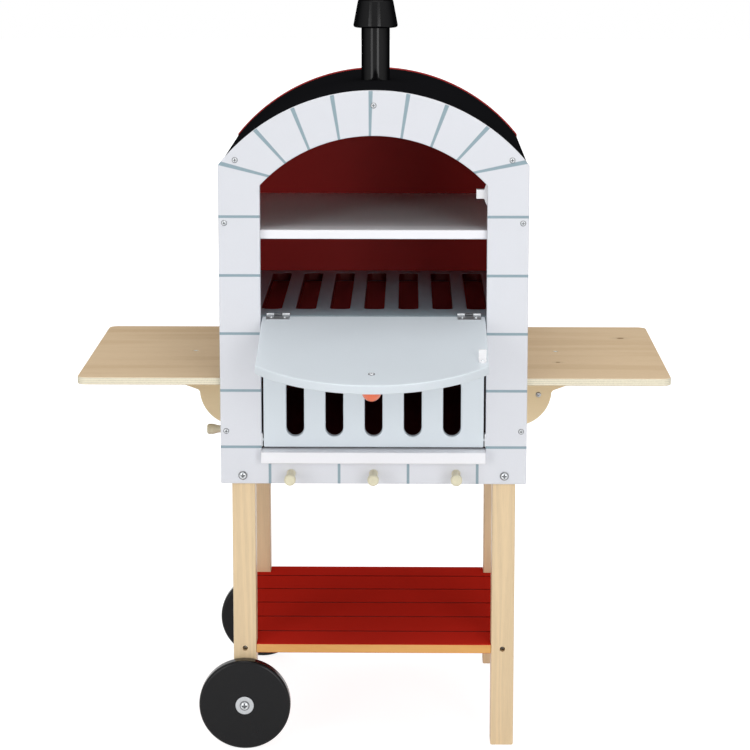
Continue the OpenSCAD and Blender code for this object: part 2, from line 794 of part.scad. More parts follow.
module tray_solid() difference() {
    translate([wall_x, mid_y - tray_w / 2, tray_foot]) linear_extrude(tray_t) {
        square([tray_l - tray_r, tray_w]);
        translate([0, tray_r]) square([tray_l, tray_w - 2 * tray_r]);
        for (y = [tray_r, tray_w - tray_r]) translate([tray_l - tray_r, y]) circle(r = tray_r);
    }
    translate([tray_screw_x, mid_y, tray_foot - eps]) cylinder(d = pilot_d, h = tray_t + 2 * eps);
    translate([tray_screw_x, mid_y, tray_z - tray_sink])
        cylinder(d = head_d + 2 * fit_gap, h = tray_sink + eps);
    for (s = [-1, 1]) translate([wall_x - eps, mid_y + s * tray_end_y, tray_foot + tray_t / 2])
        rod_x(pilot_d, screw_l - wall_t + pilot_over);
}

// A bracket's outline: an arm that gets thinner outwards, with a round corner under it
module bracket_outline() intersection() {
    translate([0, -bracket_h - eps]) square([bracket_l + eps, bracket_h + eps]);
    union() {
        polygon([[-eps, eps], [bracket_l, eps], [bracket_l, -bracket_tip_h],
                 [bracket_arm_x, -bracket_arm_h], [-eps, -bracket_arm_h]]);
        translate([-bracket_inset, bracket_r - bracket_h]) circle(r = bracket_r);
    }
}

module bracket_solid() difference() {
    translate([0, mid_y - bracket_t / 2, 0]) upright(bracket_t)
        translate([wall_x, tray_foot]) bracket_outline();
    translate([tray_screw_x, mid_y, tray_z - tray_sink - screw_l - pilot_over])
        cylinder(d = pilot_d, h = screw_l);
    translate([bracket_screw_x, mid_y - bracket_t / 2 - eps, tray_foot - bracket_screw_drop])
        rod_y(pilot_d, bracket_t + 2 * eps);
}

module cleat_solid() difference() {
    block([wall_x, mid_y + bracket_t / 2, tray_foot - cleat_h],
          [wall_x + cleat_w, mid_y + bracket_t / 2 + cleat_t, tray_foot]);
    translate([bracket_screw_x, mid_y + bracket_t / 2 - eps, tray_foot - bracket_screw_drop])
        rod_y(pilot_d, cleat_t + 2 * eps);
    for (z = cleat_screw_z) translate([wall_x - eps, cleat_y, z])
        rod_x(pilot_d, screw_l - wall_t + pilot_over);
}

module left_tray() placed() color(plywood) mirror([1, 0, 0]) tray_solid();
module right_tray() placed() color(plywood) tray_solid();
module left_bracket() placed() color(plywood) mirror([1, 0, 0]) bracket_solid();
module right_bracket() placed() color(plywood) bracket_solid();
module left_cleat() placed() color(beech) mirror([1, 0, 0]) cleat_solid();
module right_cleat() placed() color(beech) cleat_solid();

// On the right the bracket's screw comes from the front, on the left from behind
module tray_screws() placed() color(zinc) {
    for (s = [0, 1]) mirror([s, 0, 0]) {
        translate([tray_screw_x, mid_y, tray_z - tray_sink]) rotate([-90, 0, 0])
            wood_screw(screw_l);
        for (k = [-1, 1]) translate([room_x, mid_y + k * tray_end_y, tray_foot + tray_t / 2])
            rotate([0, 0, -90]) wood_screw(screw_l);
        for (z = cleat_screw_z) translate([room_x, cleat_y, z])
            rotate([0, 0, -90]) wood_screw(screw_l);
    }
    translate([bracket_screw_x, mid_y - bracket_t / 2, tray_foot - bracket_screw_drop])
        wood_screw(bracket_screw_l);
    translate([-bracket_screw_x, mid_y + bracket_t / 2 + cleat_t, tray_foot - bracket_screw_drop])
        mirror([0, 1, 0]) wood_screw(bracket_screw_l);
}

// ---- Pegs ----

// A turned peg that points to -y, with a pin that goes into the board behind it
module peg() rotate([90, 0, 0]) rotate_extrude() polygon([
    [0, -peg_pin_l], [peg_pin_d / 2, -peg_pin_l], [peg_pin_d / 2, 0],
    [peg_base_d / 2, 0], [peg_base_d / 2, peg_l * peg_turns[0]],
    [peg_waist_d / 2, peg_l * peg_turns[1]], [peg_waist_d / 2, peg_l * peg_turns[2]],
    [peg_head_d / 2 - peg_edge, peg_l * peg_turns[3]], [peg_head_d / 2, peg_l * peg_turns[4]],
    [peg_head_d / 2, peg_l * peg_turns[5]], [peg_head_d / 2 - peg_edge, peg_l], [0, peg_l]]);

module front_pegs() placed() color(raw_wood)
    for (i = [-1, 0, 1]) translate([i * peg_pitch, 0, peg_z]) peg();

module side_peg() placed() color(raw_wood)
    translate([-wall_x, panel_t + side_peg_y, peg_z]) rotate([0, 0, -90]) peg();

// ---- Legs and lower shelf ----

// A leg whose outer long side faces -y, on the right
module leg_solid(foot) difference() {
    block([leg_x - leg_w / 2, 0, foot], [leg_x + leg_w / 2, leg_w, leg_top]);
    translate([leg_x, -eps, bolt_z]) rod_y(bolt_d + 2 * run_gap, bolt_in + pilot_over + eps);
    translate([leg_x, -eps, shelf_screw_z]) {
        rod_y(sink_d, sink_l + eps);
        rod_y(pilot_d, leg_w + 2 * eps);
    }
    translate([leg_x + leg_w / 2 - screw_l + wall_t - pilot_over, leg_w / 2,
               leg_top - leg_screw_drop])
        rod_x(pilot_d, screw_l);
}

module axle_hole() translate([-leg_x, -eps, wheel_z])
    rod_y(axle_tip_d + 2 * run_gap, axle_tip_l + pilot_over + eps);

module front_half() translate([0, panel_t, 0]) children();
module rear_half() translate([0, back_y, 0]) mirror([0, 1, 0]) children();

module left_leg() difference() {
    mirror([1, 0, 0]) leg_solid(short_leg_z);
    axle_hole();
}

module front_left_leg() placed() color(beech) front_half() left_leg();
module rear_left_leg() placed() color(beech) rear_half() left_leg();
module front_right_leg() placed() color(beech) front_half() leg_solid(0);
module rear_right_leg() placed() color(beech) rear_half() leg_solid(0);

// The bolt heads lie outside a panel of thickness t, on washers
module leg_hardware(t) for (s = [-1, 1]) translate([s * leg_x, -t - washer_t, bolt_z]) children();

module leg_bolt(t) screw_y(bolt_d, t + washer_t + bolt_in, bolt_head_d, bolt_head_h);

module leg_bolts() placed() color(zinc) {
    front_half() leg_hardware(panel_t) leg_bolt(panel_t);
    rear_half() leg_hardware(back_t) leg_bolt(back_t);
}

module leg_washer() difference() {
    rod_y(leg_washer_d, washer_t);
    translate([0, -eps, 0]) rod_y(bolt_d + 2 * run_gap, washer_t + 2 * eps);
}

module leg_washers() placed() color(zinc) {
    front_half() leg_hardware(panel_t) leg_washer();
    rear_half() leg_hardware(back_t) leg_washer();
}

module shelf_screw() translate([0, sink_l, shelf_screw_z])
    screw_y(screw_d, leg_w - sink_l + shelf_screw_in, sink_d - 1, head_h);

module shelf_screws() placed() color(zinc) for (s = [-1, 1]) {
    front_half() translate([s * leg_x, 0, 0]) shelf_screw();
    rear_half() translate([s * leg_x, 0, 0]) shelf_screw();
}

module lower_shelf() placed() color(shelf_red) difference() {
    block([-room_x, panel_t, low_shelf_z - board_t], [room_x, back_y, low_shelf_z]);
    for (s = [-1, 1], y = [leg_front_y, leg_back_y])
        translate([s * leg_x, y, low_shelf_z - board_t / 2])
            cube([leg_w + 2 * fit_gap, leg_w + 2 * fit_gap, board_t + 2 * eps], center = true);
    for (i = [0 : grooves - 1])
        translate([-room_x - eps, panel_t + groove_first + i * groove_pitch - groove_w / 2,
                   low_shelf_z - groove_w])
            cube([2 * (room_x + eps), groove_w, groove_w + eps]);
    for (s = [-1, 1]) {
        front_half() translate([s * leg_x, leg_w, shelf_screw_z])
            rod_y(pilot_d, shelf_screw_in + pilot_over);
        rear_half() translate([s * leg_x, leg_w, shelf_screw_z])
            rod_y(pilot_d, shelf_screw_in + pilot_over);
    }
}

// ---- Wheels ----

// A wheel outside a leg whose face is at y = 0, its inner face first
module wheel() translate([-leg_x, -spacer_t - wheel_gap, wheel_z]) rotate([90, 0, 0])
    rotate_extrude($fn = 160) difference() {
        union() {
            translate([0, rim_r]) square([wheel_d / 2, wheel_w - 2 * rim_r]);
            square([wheel_d / 2 - rim_r, wheel_w]);
            for (y = [rim_r, wheel_w - rim_r])
                translate([wheel_d / 2 - rim_r, y]) circle(r = rim_r);
        }
        translate([-eps, -eps]) square([axle_d / 2 + run_gap + eps, wheel_w + 2 * eps]);
    }

module front_wheel() placed() color(black) front_half() wheel();
module rear_wheel() placed() color(black) rear_half() wheel();

// The axle bolt: head, smooth shaft through the wheel, thinner tip in the leg
module axle_bolt() translate([-leg_x, -wheel_stack, wheel_z]) {
    screw_y(axle_d, wheel_stack, axle_head_d, axle_head_h);
    rod_y(axle_tip_d, wheel_stack + axle_tip_l);
}

module ring_y(d, t) difference() {
    rod_y(d, t);
    translate([0, -eps, 0]) rod_y(axle_d + 2 * run_gap, t + 2 * eps);
}

module axle_washer() translate([-leg_x, -wheel_stack, wheel_z])
    ring_y(axle_washer_d, axle_washer_t);

module wheel_spacer() translate([-leg_x, -spacer_t, wheel_z]) ring_y(spacer_d, spacer_t);

module axle_bolts() placed() color(zinc) {
    front_half() axle_bolt();
    rear_half() axle_bolt();
}

module axle_washers() placed() color(zinc) {
    front_half() axle_washer();
    rear_half() axle_washer();
}

module wheel_spacers() placed() color(zinc) {
    front_half() wheel_spacer();
    rear_half() wheel_spacer();
}

front_panel();
back_panel();
left_wall();
right_wall();
roof_sheet();
ridge_batten();
left_roof_batten();
right_roof_batten();
chimney_post();
chimney_cap();
chimney_screw();
upper_shelf();
grate_board();
floor_board();
sill_board();
panel_screws();
wall_screws();
front_left_leg();
front_right_leg();
rear_left_leg();
rear_right_leg();
leg_bolts();
leg_washers();
lower_shelf();
shelf_screws();
upper_door();
upper_knob();
upper_knob_screw();
door_striker();
frame_hinge_leaves();
door_hinge_leaves();
hinge_pins();
frame_small_screws();
door_small_screws();
door_catch();
lower_door();
lower_knob();
lower_knob_screw();
lower_door_plate();
plate_screws();
pivot_plates();
pivot_pins();
grate_magnet();
left_tray();
right_tray();
left_bracket();
right_bracket();
left_cleat();
right_cleat();
tray_screws();
front_pegs();
side_peg();
front_wheel();
rear_wheel();
axle_washers();
wheel_spacers();
axle_bolts();
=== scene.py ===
"""Looks of a wooden toy oven on a wheeled stand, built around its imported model.

Every piece is worked out with numpy, as a flat outline that is given a thickness and rounded
edges, or as a profile that is turned about an axis. Lengths are in metres.
"""

from functools import partial
import json
import math

import bmesh
import bpy
import numpy as np
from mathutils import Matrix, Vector
from mathutils.geometry import tessellate_polygon


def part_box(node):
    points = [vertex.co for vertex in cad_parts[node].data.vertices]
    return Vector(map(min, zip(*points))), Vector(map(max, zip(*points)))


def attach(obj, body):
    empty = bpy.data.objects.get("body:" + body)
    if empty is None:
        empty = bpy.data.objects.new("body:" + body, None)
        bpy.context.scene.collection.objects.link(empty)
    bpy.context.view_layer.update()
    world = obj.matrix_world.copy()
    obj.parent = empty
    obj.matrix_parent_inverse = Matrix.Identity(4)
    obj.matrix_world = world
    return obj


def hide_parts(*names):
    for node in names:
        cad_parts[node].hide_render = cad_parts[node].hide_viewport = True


bl_info = {
    "name": "Toy oven",
    "version": (1, 0, 0),
    "blender": (4, 5, 0),
    "location": "View3D > Sidebar > Toy oven",
    "description": "Builds the boards, doors, fittings and finishes of a wooden toy oven",
    "category": "Add Mesh",
}

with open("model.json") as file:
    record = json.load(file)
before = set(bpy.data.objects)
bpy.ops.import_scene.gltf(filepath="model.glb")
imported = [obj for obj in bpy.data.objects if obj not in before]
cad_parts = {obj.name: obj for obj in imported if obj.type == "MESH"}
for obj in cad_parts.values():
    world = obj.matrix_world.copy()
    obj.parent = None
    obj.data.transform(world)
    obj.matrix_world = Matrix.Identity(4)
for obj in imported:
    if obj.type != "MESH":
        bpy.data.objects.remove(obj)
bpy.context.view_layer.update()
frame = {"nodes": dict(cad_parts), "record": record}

MM = 0.001

# Small sizes that several pieces share: the corners of the panels and doors, the edges of the
# holes for sunk heads, the room between the lower shelf and the legs, and how far the lower
# shelf's three slices reach into each other
PANEL_CORNER = 2 * MM
HOLE_EDGE = 0.3 * MM
NOTCH_PLAY = 0.2 * MM
SLICE_LAP = 0.1 * MM


# ---- Sizes and colours that a user would change ----

def linear(code):
    """Linear colour of a hexadecimal display colour."""
    rgb = np.array([int(code[i:i + 2], 16) for i in (1, 3, 5)]) / 255
    return tuple(np.where(rgb <= 0.04045, rgb / 12.92, ((rgb + 0.055) / 1.055) ** 2.4))


def length_property(name, description, value):
    """A length in metres, written here in millimetres."""
    return bpy.props.FloatProperty(name=name, description=description, default=value * MM,
                                   min=0.0, unit="LENGTH", precision=5)


def colour_property(name, description, code):
    """A colour, written here as a display colour."""
    return bpy.props.FloatVectorProperty(name=name, description=description, size=3,
                                         subtype="COLOR", min=0.0, max=1.0,
                                         default=linear(code))


class ToyOvenSizes(bpy.types.PropertyGroup):
    """Sizes of the boards' edges and of the printed lines."""

    arch_rise: length_property("Arch rise", "Rise of the arch above the shoulders", 94.4)
    arch_band: length_property("Arch band", "Width of the arched band over the opening", 57)
    column: length_property("Column", "Width of the front panel beside the opening", 53)
    overhang: length_property("Overhang", "How far the panels stand proud of the roof", 1.5)
    roof_sheet: length_property("Roof sheet", "Thickness of the bent roof sheet", 3)
    door_board: length_property("Door board", "Thickness of both doors", 12)
    door_gap: length_property("Door gap", "Gap between the upper door and the opening", 1.3)
    board_edge: length_property("Board edge", "Radius of the painted boards' edges", 1.4)
    wood_edge: length_property("Wood edge", "Radius of the bare wood's edges", 1.2)
    line_width: length_property("Line width", "Width of the printed lines", 3.5)


class ToyOvenColours(bpy.types.PropertyGroup):
    """Colours of the paints, woods and metals."""

    panel: colour_property("Panel", "Paint of the body", "#DDDFE5")
    trim: colour_property("Trim", "Paint of the shelf and the sill", "#F4F4F8")
    printed_line: colour_property("Printed line", "Lines on the front panel", "#8CA2AC")
    door: colour_property("Door", "Paint of the doors", "#DAE2E8")
    chamber: colour_property("Chamber", "Paint inside the oven", "#B52E2C")
    shelf: colour_property("Lower shelf", "Paint of the lower shelf", "#DC2E22")
    grate: colour_property("Grate", "Paint of the grate", "#8E9DA5")
    black: colour_property("Black", "Paint of the roof and the chimney", "#151517")
    wheel: colour_property("Wheel", "Paint of the wheels", "#111113")
    knob: colour_property("Knob", "Paint of the ball knobs", "#EE6E40")
    beech: colour_property("Beech", "Wood of the legs", "#ECD1A7")
    plywood: colour_property("Plywood", "Veneer of the trays", "#E2C9A7")
    # The brackets' plywood is painted paler than the trays', as painted light on brackets that sit
    # in shade under the trays
    bracket: colour_property("Brackets", "Plywood of the trays' brackets", "#FAE6BE")
    ply_edge: colour_property("Plywood edge", "Cut edge of the trays", "#F6EED5")
    bare_wood: colour_property("Bare wood", "Wood of the pegs", "#EDE6C8")
    zinc: colour_property("Zinc", "Plated screws and fittings", "#D6D9DC")
    # Hinge: a dark colour on the frame's hinge leaves and the pins, as painted shade of the gap
    # round the hinge knuckle; the door's leaves stay zinc
    hinge: colour_property("Hinge", "Blackened hinges", "#3C3D40")
    plastic: colour_property("Plastic", "Catch and striker", "#F0F0F2")


def sizes():
    """The sizes that the panel shows."""
    return bpy.context.scene.toy_oven_sizes


def colours():
    """The colours that the panel shows."""
    return bpy.context.scene.toy_oven_colours


# ---- Shapes: arrays of points and faces ----

class Shape:
    """Points, faces and three masks: rim for worn edges and screws' painted shade, side for cut
    edges, ply across.
    """

    def __init__(self, points, faces, rim=None, side=None, ply=None):
        self.points = np.asarray(points, float)
        self.faces = [np.asarray(f, int) for f in faces if len(f)]
        zero = np.zeros(len(self.points))
        self.masks = {"rim": zero if rim is None else rim,
                      "side": zero if side is None else side,
                      "ply": zero if ply is None else ply}

    def moved(self, matrix, origin=(0, 0, 0)):
        """The shape with its points turned by a 3 x 3 matrix and moved to an origin."""
        matrix = np.asarray(matrix, float)
        turned = self.points @ matrix.T + np.asarray(origin, float)
        flip = np.linalg.det(matrix) < 0
        faces = [f[:, ::-1] if flip else f for f in self.faces]
        return Shape(turned, faces, **self.masks)


def axes(u, v, w):
    """A matrix whose columns are where the shape's own x, y and z go."""
    return np.array([u, v, w], float).T


X, Y, Z = np.eye(3)
UPRIGHT = axes(X, Z, Y)     # an outline in x and z, its thickness backwards
FLAT = axes(X, Y, Z)        # an outline in x and y, its thickness upwards
SIDEWAYS = axes(Y, Z, X)    # an outline in y and z, its thickness along x


def arc(centre, radius, start, end, count):
    """Points centre + radius (cos t, sin t) for t from start to end, in degrees."""
    t = np.radians(np.linspace(start, end, count))
    return np.asarray(centre) + radius * np.stack([np.cos(t), np.sin(t)], 1)


def filleted(corners, radius, count=5):
    """A polygon whose corners are arcs: each touches both edges at radius / tan(half angle)."""
    corners = np.asarray(corners, float)
    radii = np.broadcast_to(radius, len(corners))
    points = []
    for before, here, after, r in zip(np.roll(corners, 1, 0), corners,
                                      np.roll(corners, -1, 0), radii):
        if r <= 0:
            points.append(here[None])
            continue
        a, b = before - here, after - here
        a, b = a / np.linalg.norm(a), b / np.linalg.norm(b)
        half = math.acos(np.clip(a @ b, -1, 1)) / 2
        middle = here + (a + b) / np.linalg.norm(a + b) * r / math.sin(half)
        first, last = here + a * r / math.tan(half), here + b * r / math.tan(half)
        t = np.linspace(0, 1, count)[:, None]
        chord = (first - middle) * (1 - t) + (last - middle) * t
        points.append(middle + chord / np.linalg.norm(chord, axis=1)[:, None] * r)
    return np.concatenate(points)


def rectangle(low, high, radius=0.0):
    """A rectangle between two corners, counter-clockwise, with round corners."""
    (x0, y0), (x1, y1) = low, high
    return filleted([(x0, y0), (x1, y0), (x1, y1), (x0, y1)], radius)


def arched(half_width, bottom, centre, radius, corner):
    """A rectangle closed by the arc centre + radius (sin t, cos t) between its sides."""
    reach = math.degrees(math.asin(half_width / radius))
    top = arc((0, centre), radius, 90 - reach, 90 + reach, 97)
    ends = filleted([top[1], top[0], (half_width, bottom), (-half_width, bottom), top[-1],
                     top[-2]][::-1], [0, corner, corner, corner, corner, 0])
    # ends runs top[-2], top[-1], left foot, right foot, top[0], top[1]
    inner = len(ends) - 2
    return np.concatenate([ends[1:1 + inner], top[2:-2]])


def mitred(loop):
    """For each point of a closed loop, the inward step that moves both its edges by one."""
    edge = np.roll(loop, -1, 0) - loop
    edge /= np.linalg.norm(edge, axis=1)[:, None]
    normal = np.stack([-edge[:, 1], edge[:, 0]], 1)
    before = np.roll(normal, 1, 0)
    return (normal + before) / (1 + np.sum(normal * before, 1))[:, None]


def quads(rows, columns, first=0):
    """Faces of a grid of points whose rows are closed rings."""
    i = np.arange(rows - 1)[:, None] * columns
    j = np.arange(columns)[None]
    k = (j + 1) % columns
    return first + np.stack([i + j, i + k, i + columns + k, i + columns + j], -1).reshape(-1, 4)


def circle(centre, radius):
    """A closed circle, counter-clockwise, none of whose points lies level with its centre."""
    return arc(centre, radius, 4, 364, 33)[:-1]


def board(outline, thickness, edge, holes=(), rings=3, hole_edge=None):
    """A flat board: its rim is a profile carried along the outline and each hole's outline.

    The profile is a quarter circle at each face, inset edge (1 - sin t) and depth
    edge (1 - cos t), and its first and last rings bound the two flat faces.
    """
    t = np.linspace(0, math.pi / 2, rings + 1)
    worn = np.concatenate([np.sin(2 * t), np.sin(2 * t)[::-1]])
    cut = np.concatenate([np.sin(t), np.sin(t)[::-1]])
    loops = [np.asarray(outline)] + [np.asarray(h)[::-1] for h in holes]
    points, faces, rim, side, ply, caps = [], [], [], [], [], []
    first = 0
    for loop in loops:
        radius = edge if first == 0 or hole_edge is None else hole_edge
        inset, depth = radius * (1 - np.sin(t)), radius * (1 - np.cos(t))
        inset = np.concatenate([inset, inset[::-1]])
        depth = np.concatenate([depth, thickness - depth[::-1]])
        ring = loop[None] + inset[:, None, None] * mitred(loop)[None]
        height = np.broadcast_to(depth[:, None, None], ring.shape[:2] + (1,))
        points.append(np.concatenate([ring, height], -1).reshape(-1, 3))
        faces.append(quads(len(depth), len(loop), first))
        for mask, values in ((rim, worn), (side, cut), (ply, depth / thickness)):
            mask.append(np.repeat(values, len(loop)))
        caps.append((first, first + (len(depth) - 1) * len(loop), ring[0]))
        first += len(depth) * len(loop)
    flat = [[Vector((x, y, 0)) / MM for x, y in ring] for _, _, ring in caps]
    triangles = np.array(tessellate_polygon(flat))
    places = np.concatenate([ring for _, _, ring in caps])
    a, b, c = (places[triangles[:, i]] for i in range(3))
    turn = (b[:, 0] - a[:, 0]) * (c[:, 1] - a[:, 1]) - (b[:, 1] - a[:, 1]) * (c[:, 0] - a[:, 0])
    triangles = np.where(turn[:, None] < 0, triangles[:, ::-1], triangles)
    low = np.concatenate([s + np.arange(len(r)) for s, _, r in caps])
    high = np.concatenate([s + np.arange(len(r)) for _, s, r in caps])
    return Shape(np.concatenate(points), faces + [low[triangles[:, ::-1]], high[triangles]],
                 np.concatenate(rim), np.concatenate(side), np.concatenate(ply))


def bar(low, high, edge, along):
    """A square-cut bar between two corners, its outline across and its thickness along."""
    low, high = np.asarray(low, float), np.asarray(high, float)
    matrix = {"x": SIDEWAYS, "y": UPRIGHT, "z": FLAT}[along]
    u, v, w = (int(np.argmax(matrix[:, i])) for i in range(3))
    outline = rectangle((low[u], low[v]), (high[u], high[v]), edge)
    origin = np.zeros(3)
    origin[w] = low[w]
    return board(outline, high[w] - low[w], edge).moved(matrix, origin)


def turned(profile, segments):
    """A profile (radius, height) turned about z: (r cos a, r sin a, h), counter-clockwise."""
    profile = np.asarray(profile, float)
    a = np.linspace(0, 2 * math.pi, segments, endpoint=False)
    ring = np.stack([np.cos(a), np.sin(a)], 1)
    xy = profile[:, None, :1] * ring[None]
    z = np.broadcast_to(profile[:, None, 1:], xy.shape[:2] + (1,))
    points = np.concatenate([xy, z], -1).reshape(-1, 3)
    return Shape(points, [quads(len(profile), segments)])


def joined(shapes):
    """Several shapes as one."""
    counts = np.cumsum([0] + [len(s.points) for s in shapes])
    faces = [f + n for s, n in zip(shapes, counts) for f in s.faces]
    masks = {k: np.concatenate([s.masks[k] for s in shapes]) for k in ("rim", "side", "ply")}
    return Shape(np.concatenate([s.points for s in shapes]), faces, **masks)


def make_piece(name, shapes, finish, node, body="cart", sharp=38.0):
    """Makes a mesh of the shapes, gives it a finish and says what it rides on and replaces."""
    shape = joined(shapes if isinstance(shapes, (list, tuple)) else [shapes])
    mesh = bpy.data.meshes.new(name)
    mesh.from_pydata(shape.points.tolist(), [], sum((f.tolist() for f in shape.faces), []))
    for mask, values in shape.masks.items():
        layer = mesh.attributes.new(mask, "FLOAT", "POINT")
        layer.data.foreach_set("value", np.ascontiguousarray(values, dtype=np.float32))
    work = bmesh.new()
    work.from_mesh(mesh)
    bmesh.ops.remove_doubles(work, verts=work.verts, dist=1e-7)
    bmesh.ops.dissolve_degenerate(work, edges=work.edges, dist=1e-8)
    work.to_mesh(mesh)
    work.free()
    mesh.polygons.foreach_set("use_smooth", np.ones(len(mesh.polygons), bool))
    mesh.set_sharp_from_angle(angle=math.radians(sharp))
    mesh.materials.append(material_of(finish))
    piece = bpy.data.objects.new(name, mesh)
    bpy.context.scene.collection.objects.link(piece)
    weighted = piece.modifiers.new("even shading", "WEIGHTED_NORMAL")
    weighted.keep_sharp = True
    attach(piece, body)
    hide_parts(node)


# ---- What the frame says ----

def box(node):
    """Lowest and highest corner of a node, as arrays."""
    low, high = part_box(node)
    return np.array(low, float), np.array(high, float)


def solids(node):
    """The points of each separate solid of a node.

    Equal points are welded, and each point takes the lowest label of its triangles until
    nothing changes, so that all the points of one solid carry one label.
    """
    mesh = frame["nodes"][node].data
    places = np.empty(len(mesh.vertices) * 3)
    mesh.vertices.foreach_get("co", places)
    places, index = np.unique(np.round(places.reshape(-1, 3), 6), axis=0, return_inverse=True)
    mesh.calc_loop_triangles()
    corners = np.empty(len(mesh.loop_triangles) * 3, dtype=np.int32)
    mesh.loop_triangles.foreach_get("vertices", corners)
    triangles = index.ravel()[corners].reshape(-1, 3)
    labels = np.arange(len(places))
    while True:
        lowest = labels[triangles].min(1)
        fresh = labels.copy()
        np.minimum.at(fresh, triangles.ravel(), np.repeat(lowest, 3))
        fresh = fresh[fresh]
        if np.array_equal(fresh, labels):
            break
        labels = fresh
    return [places[labels == k] for k in np.unique(labels)]


def fasteners(node):
    """For each screw or bolt of a node: the middle of its head's top, the direction from
    there to its tip, the head's radius, the head's height, the shank's radius, the length.

    The axis is the direction in which the solid's points spread most.
    """
    found = []
    for points in solids(node):
        middle = points.mean(0)
        axis = np.linalg.svd(points - middle)[2][0]
        along = (points - middle) @ axis
        away = np.linalg.norm((points - middle) - along[:, None] * axis, axis=1)
        ends = [away[along < along.min() + 0.2 * MM].max(),
                away[along > along.max() - 0.2 * MM].max()]
        if ends[1] > ends[0]:
            axis, along = -axis, -along
        start, length = along.min(), np.ptp(along)
        radius = away.max()
        wide = away > 0.9 * radius
        height = along[wide].max() - start
        found.append((middle + axis * start, axis, radius, height, min(ends), length))
    return found


def facing(direction):
    """A matrix whose z axis is the direction, and whose other axes are square to it."""
    direction = np.asarray(direction, float) / np.linalg.norm(direction)
    helper = Z if abs(direction[2]) < 0.9 else X
    u = np.cross(helper, direction)
    u /= np.linalg.norm(u)
    return axes(u, np.cross(direction, u), direction)


# ---- Nodes ----

def add(tree, kind, **settings):
    """A node with its settings."""
    made = tree.nodes.new(kind)
    for key, value in settings.items():
        setattr(made, key, value)
    return made


def feed(tree, socket, value):
    """Links a socket to another, or sets it to a number, a colour or a vector."""
    if isinstance(value, bpy.types.NodeSocket):
        tree.links.new(value, socket)
    elif isinstance(value, (tuple, list)) and len(value) == 3 and socket.type == "RGBA":
        socket.default_value = (*value, 1)
    else:
        socket.default_value = value


def math_node(tree, operation, *values, clamp=False):
    """The result of a Math node."""
    made = add(tree, "ShaderNodeMath", operation=operation, use_clamp=clamp)
    for socket, value in zip(made.inputs, values):
        feed(tree, socket, value)
    return made.outputs[0]


def times(tree, a, b, clamp=False):
    """The product of two values."""
    return math_node(tree, "MULTIPLY", a, b, clamp=clamp)


def plus(tree, a, b, clamp=False):
    """The sum of two values."""
    return math_node(tree, "ADD", a, b, clamp=clamp)


def minus(tree, a, b):
    """The difference of two values."""
    return math_node(tree, "SUBTRACT", a, b)


def vector_node(tree, operation, *values):
    """The result of a Vector Math node, a number for a dot product or a length."""
    made = add(tree, "ShaderNodeVectorMath", operation=operation)
    for socket, value in zip(made.inputs, values):
        feed(tree, socket, value)
    return made.outputs["Value" if operation in ("DOT_PRODUCT", "LENGTH") else "Vector"]


def mix_colours(tree, factor, a, b, blend="MIX"):
    """The result of a Mix node for colours."""
    made = add(tree, "ShaderNodeMix", data_type="RGBA", blend_type=blend)
    feed(tree, made.inputs["Factor"], factor)
    feed(tree, made.inputs[6], a)
    feed(tree, made.inputs[7], b)
    return made.outputs[2]


def noise(tree, vector, scale, detail=2.0, roughness=0.5):
    """The value of a Noise Texture node, near 0.5 on average."""
    made = add(tree, "ShaderNodeTexNoise")
    for key, value in (("Vector", vector), ("Scale", scale), ("Detail", detail),
                       ("Roughness", roughness)):
        feed(tree, made.inputs[key], value)
    return made.outputs["Fac"]


def span(tree, value, from_low, from_high, to_low=0.0, to_high=1.0, smooth=True):
    """A Map Range node that clamps."""
    made = add(tree, "ShaderNodeMapRange",
               interpolation_type="SMOOTHSTEP" if smooth else "LINEAR")
    for socket, number in zip(made.inputs, (value, from_low, from_high, to_low, to_high)):
        feed(tree, socket, number)
    return made.outputs[0]


def mask(tree, name):
    """One of the masks that a piece carries on its points."""
    return add(tree, "ShaderNodeAttribute", attribute_name=name).outputs["Fac"]


def object_place(tree):
    """The place of the shaded point in the object's own coordinates."""
    return add(tree, "ShaderNodeTexCoord").outputs["Object"]


def object_axes(tree):
    """The x, y and z of that place."""
    parts = add(tree, "ShaderNodeSeparateXYZ")
    feed(tree, parts.inputs[0], object_place(tree))
    return parts.outputs


def seen_white(tree):
    """1 for the rays that should find a white surround: from the camera, a mirror or glass."""
    path = add(tree, "ShaderNodeLightPath").outputs
    mirrored = math_node(tree, "MAXIMUM", path["Is Glossy Ray"], path["Is Transmission Ray"])
    return math_node(tree, "MAXIMUM", path["Is Camera Ray"], mirrored)


# ---- Node groups: effects that several materials use ----

def new_group(name, inputs, outputs):
    """A shader node group with named sockets, and its input and output nodes."""
    tree = bpy.data.node_groups.new(name, "ShaderNodeTree")
    kinds = {"colour": "NodeSocketColor", "value": "NodeSocketFloat", "vector": "NodeSocketVector"}
    for key, kind, default in inputs:
        socket = tree.interface.new_socket(key, in_out="INPUT", socket_type=kinds[kind])
        socket.default_value = (*default, 1) if kind == "colour" else default
    for key, kind in outputs:
        tree.interface.new_socket(key, in_out="OUTPUT", socket_type=kinds[kind])
    return tree, add(tree, "NodeGroupInput").outputs, add(tree, "NodeGroupOutput").inputs


SURFACE = [("Colour", "colour"), ("Roughness", "value"), ("Height", "value")]


